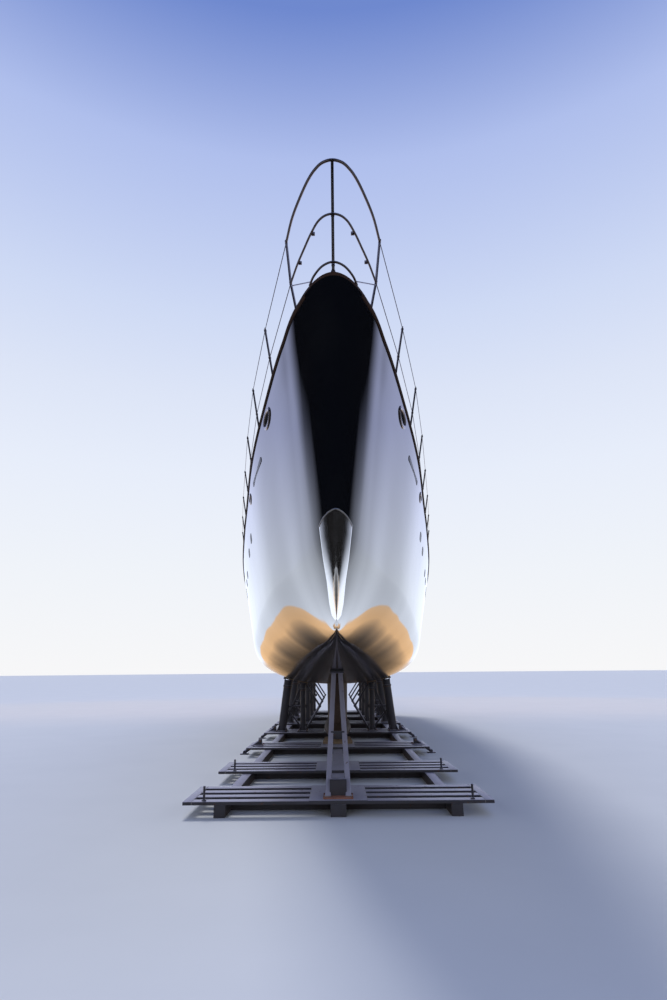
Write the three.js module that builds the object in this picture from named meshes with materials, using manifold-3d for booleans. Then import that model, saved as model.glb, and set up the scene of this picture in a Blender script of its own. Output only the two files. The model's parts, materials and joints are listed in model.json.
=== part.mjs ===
// Sailing yacht of 36 m laid up in its steel cradle, with the mast unstepped.
// Millimetres, +Z up, the bow towards -Y. s runs aft from the stem head and z runs up from the floor.
import * as THREE from 'three';
import { mergeVertices } from 'three/addons/utils/BufferGeometryUtils.js';
import Module from 'manifold-3d';

const wasm = await Module();
wasm.setup();

// Driving dimensions
const hullLength = 36000;
const pulpitReach = 420;
const pulpitRadius = 16;
const bowY = -(hullLength - pulpitReach - pulpitRadius) / 2;
const seatGap = 0.3;
const bearingGap = 0.7;
const noseLength = 500;
const noseDeckHalf = 400;
const noseBilgeHalf = 150;
const stemRake = 300;
const forefootSweep = 450;
const rakeFadeLength = 6000;
const deckCamber = 110;
const fullBeamHalf = 3850;
const marginWidth = 150;
const plankThickness = 14;

// Hull table, a row for each station
const hullColumns = ['s', 'deck', 'sheer', 'keel', 'bilge', 'rise', 'power'];
const hullTable = [
  [0, 60, 6710, 3100, 40, 900, 1.5],
  [500, 400, 6690, 3085, 150, 900, 1.5],
  [1250, 645, 6655, 3060, 290, 920, 1.5],
  [2700, 1015, 6590, 3010, 520, 980, 1.55],
  [4900, 1520, 6450, 2910, 960, 1080, 1.6],
  [7700, 2020, 6300, 2760, 1460, 1150, 1.7],
  [10200, 2450, 6210, 2600, 1860, 1200, 1.85],
  [14800, 3160, 6110, 2320, 2520, 1220, 2.1],
  [20000, 3760, 6030, 2150, 2960, 1200, 2.2],
  [25000, 3850, 5970, 2200, 3020, 1150, 2.2],
  [30000, 3700, 5900, 2520, 2820, 1000, 2.2],
  [36000, 3300, 5800, 3020, 2420, 800, 2.2],
];
const stationPlaces = [0, 25, 90, 220, 500, 1250, 2700, 4900, 7700, 10200, 12500, 14800, 17400, 20000,
  22500, 25000, 27500, 30000, 33000, 36000];
const bilgeSteps = 7;
const topsideSteps = 3;

const groups = new THREE.Group();

// Colours, roughness and metalness of the materials
const finishes = {
  hullBlack: [0x050608, 0.05, 0.0],
  teak: [0x8a6541, 0.6, 0.0],
  polishedSteel: [0xd8dadc, 0.15, 1.0],
  whitePaint: [0xe9e9e6, 0.3, 0.0],
  darkGlass: [0x0c0f12, 0.05, 0.0],
  antifoul: [0x5a3a28, 0.7, 0.0],
  bronze: [0x9a7440, 0.35, 1.0],
  cushion: [0xb9b2a5, 0.9, 0.0],
  cradleSteel: [0x6f7478, 0.6, 0.4],
  timber: [0x7a6248, 0.8, 0.0],
  carbon: [0x15171a, 0.35, 0.0],
};

// Geometry and solids

function weld(geometry) {
  const bare = geometry.clone();
  bare.deleteAttribute('normal');
  bare.deleteAttribute('uv');
  const merged = mergeVertices(bare, 0.01);
  const source = merged.index.array;
  const kept = [];
  for (let k = 0; k < source.length; k += 3) {
    const [a, b, c] = [source[k], source[k + 1], source[k + 2]];
    if (a !== b && b !== c && a !== c) kept.push(a, b, c);
  }
  merged.setIndex(kept);
  return merged;
}

function signedVolume(positions, triangles) {
  const [a, b, c] = [new THREE.Vector3(), new THREE.Vector3(), new THREE.Vector3()];
  let total = 0;
  for (let k = 0; k < triangles.length; k += 3) {
    a.fromArray(positions, triangles[k] * 3);
    b.fromArray(positions, triangles[k + 1] * 3);
    c.fromArray(positions, triangles[k + 2] * 3);
    total += a.dot(b.cross(c));
  }
  return total;
}

function solid(geometry) {
  const merged = weld(geometry);
  const positions = merged.attributes.position.array;
  let triangles = Array.from(merged.index.array);
  if (signedVolume(positions, triangles) < 0) triangles = triangles.reverse();
  const mesh = new wasm.Mesh({
    numProp: 3,
    vertProperties: new Float32Array(positions),
    triVerts: new Uint32Array(triangles),
  });
  return new wasm.Manifold(mesh);
}

function fuse(solids) {
  return solids.reduce((sum, next) => sum.add(next));
}

function cut(body, tools) {
  return tools.reduce((rest, tool) => rest.subtract(tool), body);
}

function block(x0, x1, y0, y1, z0, z1) {
  const shape = new THREE.BoxGeometry(x1 - x0, y1 - y0, z1 - z0);
  shape.translate((x0 + x1) / 2, (y0 + y1) / 2, (z0 + z1) / 2);
  return solid(shape);
}

function rod(start, end, radius, sides = 6, endRadius = radius) {
  const from = new THREE.Vector3(...start);
  const to = new THREE.Vector3(...end);
  const axis = to.clone().sub(from);
  const shape = new THREE.CylinderGeometry(endRadius, radius, axis.length(), sides);
  shape.applyQuaternion(new THREE.Quaternion().setFromUnitVectors(
    new THREE.Vector3(0, 1, 0), axis.clone().normalize()));
  const middle = from.add(to).multiplyScalar(0.5);
  shape.translate(middle.x, middle.y, middle.z);
  return solid(shape);
}

function bentTube(points, radius, sides, steps) {
  const route = new THREE.CatmullRomCurve3(points.map((p) => new THREE.Vector3(...p)), false, 'centripetal');
  const section = new THREE.Shape();
  for (let k = 0; k < sides; k++) {
    const angle = (2 * Math.PI * k) / sides;
    const place = [radius * Math.cos(angle), radius * Math.sin(angle)];
    if (k === 0) section.moveTo(...place);
    else section.lineTo(...place);
  }
  section.closePath();
  return solid(new THREE.ExtrudeGeometry(section, { steps, extrudePath: route, bevelEnabled: false }));
}

// Closed skin through rings of equal length, each end closed by a fan unless it runs to an edge
function loft(rings, closeStart = true, closeEnd = true) {
  const count = rings[0].length;
  const places = rings.flat().flatMap((p) => [p.x, p.y, p.z]);
  const triangles = [];
  for (let i = 0; i + 1 < rings.length; i++) {
    for (let j = 0; j < count; j++) {
      const next = (j + 1) % count;
      const [a, b] = [i * count + j, i * count + next];
      triangles.push(a, b, b + count, a, b + count, a + count);
    }
  }
  const closeRing = (ring, first, turned) => {
    const middle = new THREE.Vector3();
    ring.forEach((p) => middle.addScaledVector(p, 1 / count));
    const centre = places.length / 3;
    places.push(middle.x, middle.y, middle.z);
    for (let j = 0; j < count; j++) {
      const edge = [first + j, first + ((j + 1) % count)];
      if (turned) edge.reverse();
      triangles.push(edge[0], centre, edge[1]);
    }
  };
  if (closeStart) closeRing(rings[0], 0, false);
  if (closeEnd) closeRing(rings[rings.length - 1], (rings.length - 1) * count, true);
  const shape = new THREE.BufferGeometry();
  shape.setAttribute('position', new THREE.Float32BufferAttribute(places, 3));
  shape.setIndex(triangles);
  return solid(shape);
}

function prism(outline, z0, z1) {
  const shape = new THREE.Shape(outline.map(([x, y]) => new THREE.Vector2(x, y)));
  const body = new THREE.ExtrudeGeometry(shape, { depth: z1 - z0, bevelEnabled: false });
  body.translate(0, 0, z0);
  return solid(body);
}

function piece(name, body, finish, place = [0, 0, 0]) {
  const raw = body.getMesh();
  const shape = new THREE.BufferGeometry();
  shape.setAttribute('position', new THREE.BufferAttribute(new Float32Array(raw.vertProperties), 3));
  shape.setIndex(new THREE.BufferAttribute(new Uint32Array(raw.triVerts), 1));
  const [color, roughness, metalness] = finishes[finish];
  const mesh = new THREE.Mesh(shape, new THREE.MeshStandardMaterial({ color, roughness, metalness }));
  mesh.name = name;
  mesh.position.set(...place);
  groups.add(mesh);
  return mesh;
}

// Hull form

function tableValue(column, s) {
  const k = hullColumns.indexOf(column);
  const last = hullTable.length - 1;
  let i = 0;
  while (i < last - 1 && hullTable[i + 1][0] <= s) i++;
  const secant = (n) => (hullTable[n + 1][k] - hullTable[n][k]) / (hullTable[n + 1][0] - hullTable[n][0]);
  const slope = (n) => {
    if (n === 0) return secant(0);
    if (n === last) return secant(last - 1);
    return (secant(n - 1) + secant(n)) / 2;
  };
  const span = hullTable[i + 1][0] - hullTable[i][0];
  const t = (s - hullTable[i][0]) / span;
  const [start, end] = [hullTable[i][k], hullTable[i + 1][k]];
  return start * (1 + 2 * t) * (1 - t) ** 2 + span * slope(i) * t * (1 - t) ** 2
    + end * t * t * (3 - 2 * t) + span * slope(i + 1) * t * t * (t - 1);
}

function deckHalf(s) {
  return s < noseLength ? noseDeckHalf * Math.sqrt(s / noseLength) : tableValue('deck', s);
}

function bilgeHalf(s) {
  return s < noseLength ? noseBilgeHalf * (s / noseLength) ** 0.8 : tableValue('bilge', s);
}

// The stem rakes and its forefoot sweeps aft, and both fade out along the hull
function stationY(s, level) {
  const rake = stemRake * (1 - level) + forefootSweep * Math.max(0, 1 - level / 0.15) ** 2;
  return bowY + s + rake * Math.max(0, 1 - s / rakeFadeLength);
}

function deckZ(s, x) {
  const [half, sheer] = [deckHalf(s), tableValue('sheer', s)];
  const margin = marginAt(s);
  const inboard = margin > 0 ? Math.max(0, 1 - (x / margin) ** 2) : 0;
  return sheer + deckCamber * (half / fullBeamHalf) * inboard;
}

function marginAt(s) {
  return Math.max(deckHalf(s) - marginWidth, deckHalf(s) * 0.6);
}

// Half section from the keel line up to the deck edge
function halfSection(s) {
  const [deck, bilge] = [deckHalf(s), bilgeHalf(s)];
  const [keel, rise, power] = ['keel', 'rise', 'power'].map((name) => tableValue(name, s));
  const height = tableValue('sheer', s) - keel;
  const flare = (deck - bilge) / height;
  const place = (half, up) => new THREE.Vector3(half + flare * up, stationY(s, up / height), keel + up);
  const points = [];
  for (let j = 0; j <= bilgeSteps; j++) {
    const angle = (j / bilgeSteps) * (Math.PI / 2);
    const up = rise * (1 - Math.abs(Math.cos(angle)) ** (2 / power));
    points.push(place(bilge * Math.sin(angle) ** (2 / power), up));
  }
  for (let j = 1; j <= topsideSteps; j++) {
    points.push(place(bilge, rise + ((height - rise) * j) / topsideSteps));
  }
  return points;
}

const deckFractions = [1, 0.5, 0, -0.5, -1];

function deckLine(s, lift) {
  return deckFractions.map((fraction) => {
    const x = marginAt(s) * fraction;
    return new THREE.Vector3(x, bowY + s, deckZ(s, x) + lift);
  });
}

function mirrored(points) {
  return points.map((p) => new THREE.Vector3(-p.x, p.y, p.z));
}

function hullBody() {
  const rings = stationPlaces.map((s) => {
    const port = halfSection(s);
    const starboard = mirrored(port.slice(1)).reverse();
    return [...starboard, ...port, ...deckLine(s, 0)];
  });
  return loft(rings, false, true);
}

// Deckhouse plan: an elliptical front and straight sides, open to an inset
const house = { front: 13800, shoulder: 17200, aft: 22000, half: 2350, frontSteps: 6 };

function housePlan(inset, aftInset = 0) {
  const port = [];
  for (let j = 0; j <= house.frontSteps; j++) {
    const angle = (j / house.frontSteps) * (Math.PI / 2);
    const s = house.shoulder - (house.shoulder - house.front - inset) * Math.cos(angle);
    port.push([(house.half - inset) * Math.sin(angle), bowY + s]);
  }
  port.push([house.half - inset, bowY + house.aft - aftInset]);
  const starboard = port.slice(1).reverse().map(([x, y]) => [-x, y]);
  return [...starboard, ...port];
}

// Levels of the house wall: z and lean inboard
const houseLevels = [[5850, 0], [6480, 70], [6960, 300]];
const houseWall = 90;
const houseGlassThickness = 14;

function houseBody(inset, aftInset = 0) {
  const rings = houseLevels.map(([z, lean]) => housePlan(lean + inset, aftInset)
    .map(([x, y]) => new THREE.Vector3(x, y, z)));
  return loft(rings);
}

// Wells and recesses in the hull and deck
const wells = {
  guest: { half: 2150, s0: house.aft, s1: 25900, floor: 5150 },
  passage: { half: 450, s0: 25800, s1: 26700, floor: 5150 },
  helm: { half: 2600, s0: 26600, s1: 30800, floor: 5450 },
};
const saloonFloor = 4750;
const saloonInset = 320;
const saloonAft = 21900;
const door = { half: 414, jamb: 385, sill: 5156, head: 6824, depth: 50, thickness: 45, lap: 40 };
const garage = { half: 1900, s0: 33000, sill: 3950, head: 5400, thickness: 80, lap: 50, play: 6 };
const lids = {
  anchor_locker_lid: { s0: 2100, s1: 2900, half: 320 },
  fore_hatch_lid: { s0: 6300, s1: 7050, half: 375 },
  mid_hatch_lid: { s0: 10000, s1: 10750, half: 375 },
};
const lidThickness = 60;
const lidPlay = 6;
const aboveAll = 8000;

function wellCutter(well) {
  return block(-well.half, well.half, bowY + well.s0, bowY + well.s1, well.floor, aboveAll);
}

function lidTop(lid) {
  return deckZ((lid.s0 + lid.s1) / 2, 0) + seatGap + plankThickness;
}

function lidCutter(lid) {
  const top = lidTop(lid);
  return block(-lid.half - lidPlay, lid.half + lidPlay, bowY + lid.s0 - lidPlay, bowY + lid.s1 + lidPlay,
    top - lidThickness - seatGap, aboveAll);
}

function doorCutters() {
  const aft = bowY + house.aft;
  return [
    block(-door.half, door.half, aft - door.depth, aft + 10, door.sill - 6, door.head + 6),
    block(-door.jamb, door.jamb, aft - 400, aft + 10, door.sill + door.lap, door.head - door.lap),
  ];
}

function garageCutters() {
  const aft = bowY + hullLength;
  const { half, sill, head, lap, thickness, play } = garage;
  return [
    block(-half - play, half + play, aft - thickness - seatGap, aft + 10, sill - play, head + play),
    block(-half + lap, half - lap, bowY + garage.s0, aft + 10, sill + lap, head - lap),
  ];
}

// Rudder stock, propeller shaft and side fairleads reach into the hull
const rudder = { s: 31350, chord: 1150, thickness: 170, top: 2420, bottom: 700, stock: 80, stockTop: 3300 };
const shaft = { s0: 24300, z0: 2480, s1: 27750, z1: 1690, radius: 38, sides: 24 };
const fairleads = [
  { name: 'fwd', s: 2890, drop: 254, length: 620, height: 270 },
  { name: 'aft', s: 6450, drop: 275, length: 460, height: 215 },
];
const fairleadDepth = 130;
const fairleadRim = 60;
const fairleadProud = 14;

function shaftPoint(s) {
  return [0, bowY + s, shaft.z0 + ((s - shaft.s0) / (shaft.s1 - shaft.s0)) * (shaft.z1 - shaft.z0)];
}

function oval(fairlead, shrink, side, x0, x1) {
  const outline = new THREE.Shape();
  const [long, tall] = [fairlead.length / 2 - shrink, fairlead.height / 2 - shrink];
  outline.absellipse(0, 0, long, tall, 0, 2 * Math.PI);
  const body = new THREE.ExtrudeGeometry(outline, { depth: x1 - x0, bevelEnabled: false, curveSegments: 8 });
  body.rotateX(Math.PI / 2);
  body.rotateZ(Math.PI / 2);
  const z = tableValue('sheer', fairlead.s) - fairlead.drop;
  body.translate(side > 0 ? x0 : -x1, bowY + fairlead.s, z);
  return solid(body);
}

// A cut can leave slivers beside the piece, so the largest body is kept
function largest(body) {
  return body.decompose().reduce((best, next) => (next.volume() > best.volume() ? next : best));
}

// A piece that rests on others is cut by them and by their shape raised by the seat gap
function seatOn(body, supports) {
  return largest(cut(body, supports.flatMap((support) => [support, support.translate([0, 0, seatGap])])));
}

// A piece that meets others on their tops and their sides keeps the gap all round
function clearOf(body, supports) {
  const shifts = [[0, 0, 0], [0, 0, 1], [1, 0, 0], [-1, 0, 0], [0, 1, 0], [0, -1, 0]];
  const grown = supports.flatMap((support) => shifts.map((shift) => support.translate(
    shift.map((v) => v * seatGap))));
  return largest(cut(body, grown));
}

function hangUnder(body, supports) {
  return largest(cut(body, supports.map((support) => support.translate([0, 0, -seatGap]))));
}

// Hull, deck and toe rail

const rawHull = hullBody();

function hullPiece() {
  const pockets = fairleads.flatMap((lead) => [1, -1].map((side) => {
    const skin = deckHalf(lead.s);
    return oval(lead, fairleadRim, side, skin - fairleadDepth, skin + 300);
  }));
  return cut(rawHull, [
    ...Object.values(wells).map((well) => wellCutter(well)),
    prism(housePlan(saloonInset, house.aft - saloonAft), saloonFloor, aboveAll),
    ...Object.values(lids).map(lidCutter),
    ...doorCutters(),
    ...garageCutters(),
    ...pockets,
    rod([0, bowY + rudder.s, 1000], [0, bowY + rudder.s, rudder.stockTop + 5], rudder.stock + bearingGap, 32),
    rod(shaftPoint(shaft.s0 - 20), shaftPoint(shaft.s1), shaft.radius + bearingGap, shaft.sides),
  ]);
}

const mastStep = { s: 12600, length: 900, width: 520, height: 60 };
const houseFootprint = 40;

function mastStepPlace() {
  return [0, bowY + mastStep.s];
}

function planking() {
  const rings = stationPlaces.filter((s) => s >= noseLength).map((s) => {
    const bottom = deckLine(s, seatGap);
    const top = deckLine(s, seatGap + plankThickness);
    return [...bottom, ...top.reverse()];
  });
  const [x, y] = mastStepPlace();
  return cut(loft(rings), [
    ...Object.values(wells).map((well) => wellCutter(well)),
    prism(housePlan(-houseFootprint, -houseFootprint), 5000, aboveAll),
    ...Object.values(lids).map(lidCutter),
    block(x - mastStep.width / 2 - 5, x + mastStep.width / 2 + 5, y - mastStep.length / 2 - 5,
      y + mastStep.length / 2 + 5, 5000, aboveAll),
  ]);
}

const toeRail = { width: 60, height: 45, noseInset: 0.55, tipS: 6 };

function toeRailBody() {
  const half = [toeRail.tipS, ...stationPlaces.slice(1)].map((s) => {
    const [outer, z] = [deckHalf(s), tableValue('sheer', s) + seatGap];
    const inner = Math.max(outer - toeRail.width, outer * toeRail.noseInset);
    const y = bowY + s;
    const back = s < noseLength ? toeRail.width : 0;
    return [[outer, y, z], [outer, y, z + toeRail.height], [inner, y + back, z + toeRail.height],
      [inner, y + back, z]].map((p) => new THREE.Vector3(...p));
  });
  const port = [...half].reverse();
  const starboard = half.map((ring) => mirrored(ring));
  return loft([...port, ...starboard]);
}

const hull = hullPiece();
const deckPlanking = planking();
piece('hull', hull, 'hullBlack');
piece('deck_planking', deckPlanking, 'teak');
const toeRails = seatOn(toeRailBody(), [hull, deckPlanking]);
piece('toe_rail', toeRails, 'teak');

// Stem plate: a shield shape wrapped round the stem
const stemPlate = { top: 4230, shoulder: 4150, tip: 3130, half: 172, waist: 62, waistZ: 3700, proud: 14, reach: 850 };

function stemPlateBody() {
  const { top, shoulder, tip, half, waist, waistZ, proud, reach } = stemPlate;
  const side = [[half * 0.55, top - 28], [half, shoulder], [half * 0.62, shoulder - 190], [waist, waistZ],
    [waist * 0.55, waistZ - 330], [12, tip]];
  const outline = [[0, top], ...side, ...side.slice().reverse().map(([x, z]) => [-x, z])];
  const window = new THREE.ExtrudeGeometry(
    new THREE.Shape(outline.map(([x, z]) => new THREE.Vector2(x, z))), { depth: 2 * reach, bevelEnabled: false });
  window.rotateX(Math.PI / 2);
  window.translate(0, bowY + reach, 0);
  const shell = rawHull.translate([0, -proud, 0]).subtract(rawHull.translate([0, -seatGap, 0]));
  return shell.intersect(solid(window));
}

piece('stem_plate', stemPlateBody(), 'polishedSteel');

function fairleadBody(lead, side) {
  const skin = deckHalf(lead.s);
  const rim = oval(lead, 0, side, skin - 300, skin + 300)
    .subtract(oval(lead, fairleadRim, side, skin - 301, skin + 301));
  const proud = rawHull.translate([side * fairleadProud, 0, 0]).intersect(rim);
  return proud.subtract(rawHull.translate([side * seatGap, 0, 0]));
}

for (const lead of fairleads) {
  for (const [word, side] of [['port', 1], ['stbd', -1]]) {
    piece(`fairlead_${lead.name}_${word}`, fairleadBody(lead, side), 'polishedSteel');
  }
}

// Guard rails
const guard = {
  height: 1090, mid: 600, lean: 60, post: 16, line: 7, foot: 40, footHeight: 12, inboard: 125,
  firstS: 2600, secondS: 4400, thirdS: 6400, pitch: 1990, posts: 16,
};

function guardPlaces() {
  const places = [guard.firstS, guard.secondS];
  for (let k = 0; places.length < guard.posts; k++) places.push(guard.thirdS + k * guard.pitch);
  return places;
}

// A point of the guard rail at a share of its height
function guardPoint(s, side, up) {
  const x = deckHalf(s) - guard.inboard + (guard.lean + guard.inboard) * (up / guard.height);
  return [side * x, bowY + s, tableValue('sheer', s) + seatGap + up];
}

function footPlate(s, side) {
  const [x, y, z] = guardPoint(s, side, 0);
  return rod([x, y, z], [x, y, z + guard.footHeight], guard.foot, 4);
}

function guardRail(side) {
  const places = guardPlaces();
  const posts = places.map((s) => rod(guardPoint(s, side, 2), guardPoint(s, side, guard.height),
    guard.post, 4));
  const lineSides = 3;
  const wire = (up) => loft([pulpit.secondS + 50, ...places].map((s) => {
    const [x, y, z] = guardPoint(s, side, up);
    return Array.from({ length: lineSides }, (_, k) => {
      const angle = (2 * Math.PI * k) / lineSides;
      return new THREE.Vector3(x + guard.line * Math.cos(angle), y, z + guard.line * Math.sin(angle));
    });
  }));
  return fuse([...posts, ...places.map((s) => footPlate(s, side)), wire(guard.height - 15), wire(guard.mid)]);
}

// Pulpit: a centre post, three rails and a pair of side posts
const pulpit = { secondS: 870, topZ: 7810, midZ: 7310, lowZ: 6850, topReach: 420, midReach: 215,
  sideTopZ: 7840, sideMidZ: 7240, sideTopHalf: 587, sideMidHalf: 524, postFoot: 50 };
// Half-breadth, distance aft and drop below the tip along the top and middle bars
const topBend = [[485, 453, -25], [380, 138, -15], [265, -152, -5], [120, -372, 0]];
const midBend = [[422, 540, 52], [321, 265, 33], [243, 62, 20], [120, -155, 5]];

function pulpitBody() {
  const y = (s) => bowY + s;
  const { topZ, midZ, lowZ, topReach, midReach, sideTopZ, sideMidZ, sideTopHalf, sideMidHalf, secondS } = pulpit;
  const footZ = tableValue('sheer', 0) + seatGap;
  const radius = pulpitRadius;
  const bar = (end, bend, tip, size) => {
    const side = [end, ...bend.map(([x, s, drop]) => [x, y(s), tip[2] - drop])];
    const other = side.map(([x, along, z]) => [-x, along, z]).reverse();
    return bentTube([...side, tip, ...other], size, 5, 14);
  };
  const topBar = bar([sideTopHalf, y(secondS), sideTopZ], topBend, [0, y(-topReach), topZ], radius);
  const midBar = bar([sideMidHalf, y(secondS), sideMidZ], midBend, [0, y(-midReach), midZ], radius * 0.8);
  const [lowHalf, lowS] = [262, 235];
  const railTop = footZ + toeRail.height - 5;
  const lowBar = bentTube([[-lowHalf, y(lowS), railTop], [-lowHalf * 0.82, y(140), lowZ - 50],
    [-lowHalf * 0.42, y(15), lowZ - 8], [0, y(-35), lowZ], [lowHalf * 0.42, y(15), lowZ - 8],
    [lowHalf * 0.82, y(140), lowZ - 50], [lowHalf, y(lowS), railTop]], radius * 0.8, 5, 12);
  const sides = [1, -1].flatMap((side) => {
    const foot = guardPoint(secondS, side, 2);
    const mid = [side * sideMidHalf, y(secondS), sideMidZ];
    const top = [side * sideTopHalf, y(secondS), sideTopZ];
    return [rod(foot, mid, radius), rod(mid, top, radius), footPlate(secondS, side),
      rod([side * lowHalf * 0.82, y(140), lowZ - 50], mid, radius * 0.7)];
  });
  const centre = rod([0, y(pulpit.postFoot), footZ + toeRail.height], [0, y(-topReach), topZ], radius, 8);
  const socket = rod([0, y(pulpit.postFoot), footZ + toeRail.height], [0, y(pulpit.postFoot - 15),
    footZ + toeRail.height + 45], 34, 8);
  return fuse([topBar, midBar, lowBar, ...sides, centre, socket]);
}

const pushpit = { frontS: 34500, cornerS: 35700, aft: 35760, middleX: 1100, cornerInset: 160 };

function pushpitBody() {
  const { frontS, cornerS, aft, middleX, cornerInset } = pushpit;
  const places = [[frontS, 1], [cornerS, 1], [cornerS, -1], [frontS, -1]];
  const posts = places.flatMap(([s, side]) => [
    rod(guardPoint(s, side, 2), guardPoint(s, side, guard.height), pulpitRadius),
    footPlate(s, side),
  ]);
  const middlePosts = [1, -1].flatMap((side) => {
    const [x, y, z] = [side * middleX, bowY + aft, tableValue('sheer', aft)];
    const top = [x, y, guardPoint(aft, side, guard.height)[2]];
    return [rod([x, y, deckZ(aft, x) - 30], top, pulpitRadius),
      rod([x, y, z], [x, y, deckZ(aft, x) + plankThickness + guard.footHeight], guard.foot, 8)];
  });
  const bar = (up, radius) => {
    const corner = guardPoint(cornerS, 1, up);
    const front = guardPoint(frontS, 1, up);
    const y = bowY + aft;
    const port = [front, corner, [corner[0] - cornerInset, y - 15, corner[2]], [middleX, y, corner[2]]];
    const starboard = port.map(([x, py, z]) => [-x, py, z]).reverse();
    return bentTube([...port, ...starboard], radius, 5, 16);
  };
  return fuse([...posts, ...middlePosts, bar(guard.height - 10, pulpitRadius), bar(guard.mid, pulpitRadius * 0.8)]);
}

const onDeck = [hull, deckPlanking];
const railSupports = [hull, deckPlanking, toeRails];
piece('pulpit', clearOf(pulpitBody(), railSupports), 'polishedSteel');
piece('rail_port', clearOf(guardRail(1), railSupports), 'polishedSteel');
piece('rail_stbd', clearOf(guardRail(-1), railSupports), 'polishedSteel');
piece('pushpit', clearOf(pushpitBody(), railSupports), 'polishedSteel');

// Deckhouse: a hollow shell with windows, a wrap-round glass band in a rebate, and a roof
const windowRows = { low: 6480, high: 6880, glassLow: 6440, glassHigh: 6920 };
const glassAft = 21800;
const sideWindows = [[17300, 18650], [18800, 20150], [20300, 21550]];
const frontWindowAngles = [0, 33, 62];
const frontWindowHalf = 460;
const roof = { base: 6960, edgeLean: 250, edge: 7035, crown: 7120, crownLean: 800 };

function windowCutters() {
  const { low, high } = windowRows;
  const sides = sideWindows.map(([s0, s1]) => block(-3000, 3000, bowY + s0, bowY + s1, low, high));
  const fronts = frontWindowAngles.flatMap((angle) => [angle, -angle].slice(angle === 0 ? 1 : 0).map((turn) => {
    const opening = new THREE.BoxGeometry(2 * frontWindowHalf, 3600, high - low);
    opening.translate(0, -1800, 0);
    opening.rotateZ((turn * Math.PI) / 180);
    opening.translate(0, bowY + house.shoulder, (low + high) / 2);
    return solid(opening);
  }));
  return [...sides, ...fronts];
}

// The glass band, or its rebate cutter when it is grown by a gap and reaches past the wall
function glassBand(grow) {
  const { glassLow, glassHigh } = windowRows;
  const zone = block(-3000, 3000, bowY + house.front - 200, bowY + glassAft + grow, glassLow - grow,
    glassHigh + grow);
  const outer = houseBody(grow > 0 ? -houseWall : 0);
  return outer.subtract(houseBody(houseGlassThickness + grow)).intersect(zone);
}

function houseShell() {
  return cut(houseBody(0), [houseBody(houseWall, houseWall), glassBand(seatGap), ...windowCutters(),
    ...doorCutters()]);
}

function houseRoof() {
  const { base, edgeLean, edge, crown, crownLean } = roof;
  const level = (lean, z) => housePlan(lean).map(([x, y]) => new THREE.Vector3(x, y, z));
  return loft([level(edgeLean, base + seatGap), level(edgeLean - 20, edge), level(crownLean, crown)]);
}

const shell = seatOn(houseShell(), [hull]);
piece('deckhouse_shell', shell, 'whitePaint');
piece('deckhouse_glass', glassBand(0), 'darkGlass');
piece('deckhouse_roof', houseRoof(), 'whitePaint');

const sofa = { inner: 950, outer: 1850, s0: 17200, s1: 20900, seat: 430, back: 850, backDepth: 240 };

for (const [word, side] of [['port', 1], ['stbd', -1]]) {
  const spans = (a, b) => (side > 0 ? [a, b] : [-b, -a]);
  const floor = saloonFloor + seatGap;
  const seat = block(...spans(sofa.inner, sofa.outer), bowY + sofa.s0, bowY + sofa.s1, floor, floor + sofa.seat);
  const back = block(...spans(sofa.outer - sofa.backDepth, sofa.outer), bowY + sofa.s0, bowY + sofa.s1, floor,
    floor + sofa.back);
  piece(`saloon_sofa_${word}`, seat.add(back), 'cushion');
}

function companionDoor() {
  const aft = bowY + house.aft;
  return block(-door.half + 7, door.half - 7, aft - door.depth + seatGap, aft - door.depth + door.thickness,
    door.sill, door.head);
}

piece('companionway_door', companionDoor(), 'darkGlass');

// Deck fittings
function mastStepBody() {
  const [x, y] = mastStepPlace();
  const [w, l] = [mastStep.width / 2, mastStep.length / 2];
  const deck = deckZ(mastStep.s, 0);
  const plate = block(x - w, x + w, y - l, y + l, deck - 60, deck + mastStep.height);
  const rim = block(x - w + 60, x + w - 60, y - l + 60, y + l - 60, deck, deck + mastStep.height + 60);
  return plate.add(rim);
}

piece('mast_step', seatOn(mastStepBody(), [hull]), 'whitePaint');

for (const [name, lid] of Object.entries(lids)) {
  const top = lidTop(lid);
  const slab = block(-lid.half, lid.half, bowY + lid.s0, bowY + lid.s1, top - lidThickness, top);
  piece(name, slab, name === 'anchor_locker_lid' ? 'teak' : 'darkGlass');
}

const coaming = { inner: 2170, outer: 2520, s1: 26450, crossS: 25950, passage: 560, top: 6330 };

for (const [word, side] of [['port', 1], ['stbd', -1]]) {
  const outline = [[coaming.inner, house.aft + 8], [coaming.outer, house.aft + 8], [coaming.outer, coaming.s1],
    [coaming.passage, coaming.s1], [coaming.passage, coaming.crossS], [coaming.inner, coaming.crossS]]
    .map(([x, s]) => [side * x, bowY + s]);
  piece(`coaming_${word}`, seatOn(prism(outline, 5700, coaming.top), onDeck), 'whitePaint');
}

const bench = { inner: 1400, outer: 2140, s0: 22500, s1: 25750, height: 430 };
const table = { half: 430, s0: 23300, s1: 25000, height: 720, thickness: 40, legHalf: 90, legInset: 350 };
const guestFloor = wells.guest.floor + seatGap;

for (const [word, side] of [['port', 1], ['stbd', -1]]) {
  const [x0, x1] = side > 0 ? [bench.inner, bench.outer] : [-bench.outer, -bench.inner];
  const seat = block(x0, x1, bowY + bench.s0, bowY + bench.s1, guestFloor, guestFloor + bench.height);
  piece(`cockpit_bench_${word}`, seat, 'cushion');
}

function cockpitTable() {
  const top = block(-table.half, table.half, bowY + table.s0, bowY + table.s1,
    guestFloor + table.height - table.thickness, guestFloor + table.height);
  const legs = [table.s0 + table.legInset, table.s1 - table.legInset].map((s) => block(-table.legHalf,
    table.legHalf, bowY + s - 60, bowY + s + 60, guestFloor, guestFloor + table.height - 10));
  return fuse([top, ...legs]);
}

piece('cockpit_table', cockpitTable(), 'teak');

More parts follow.
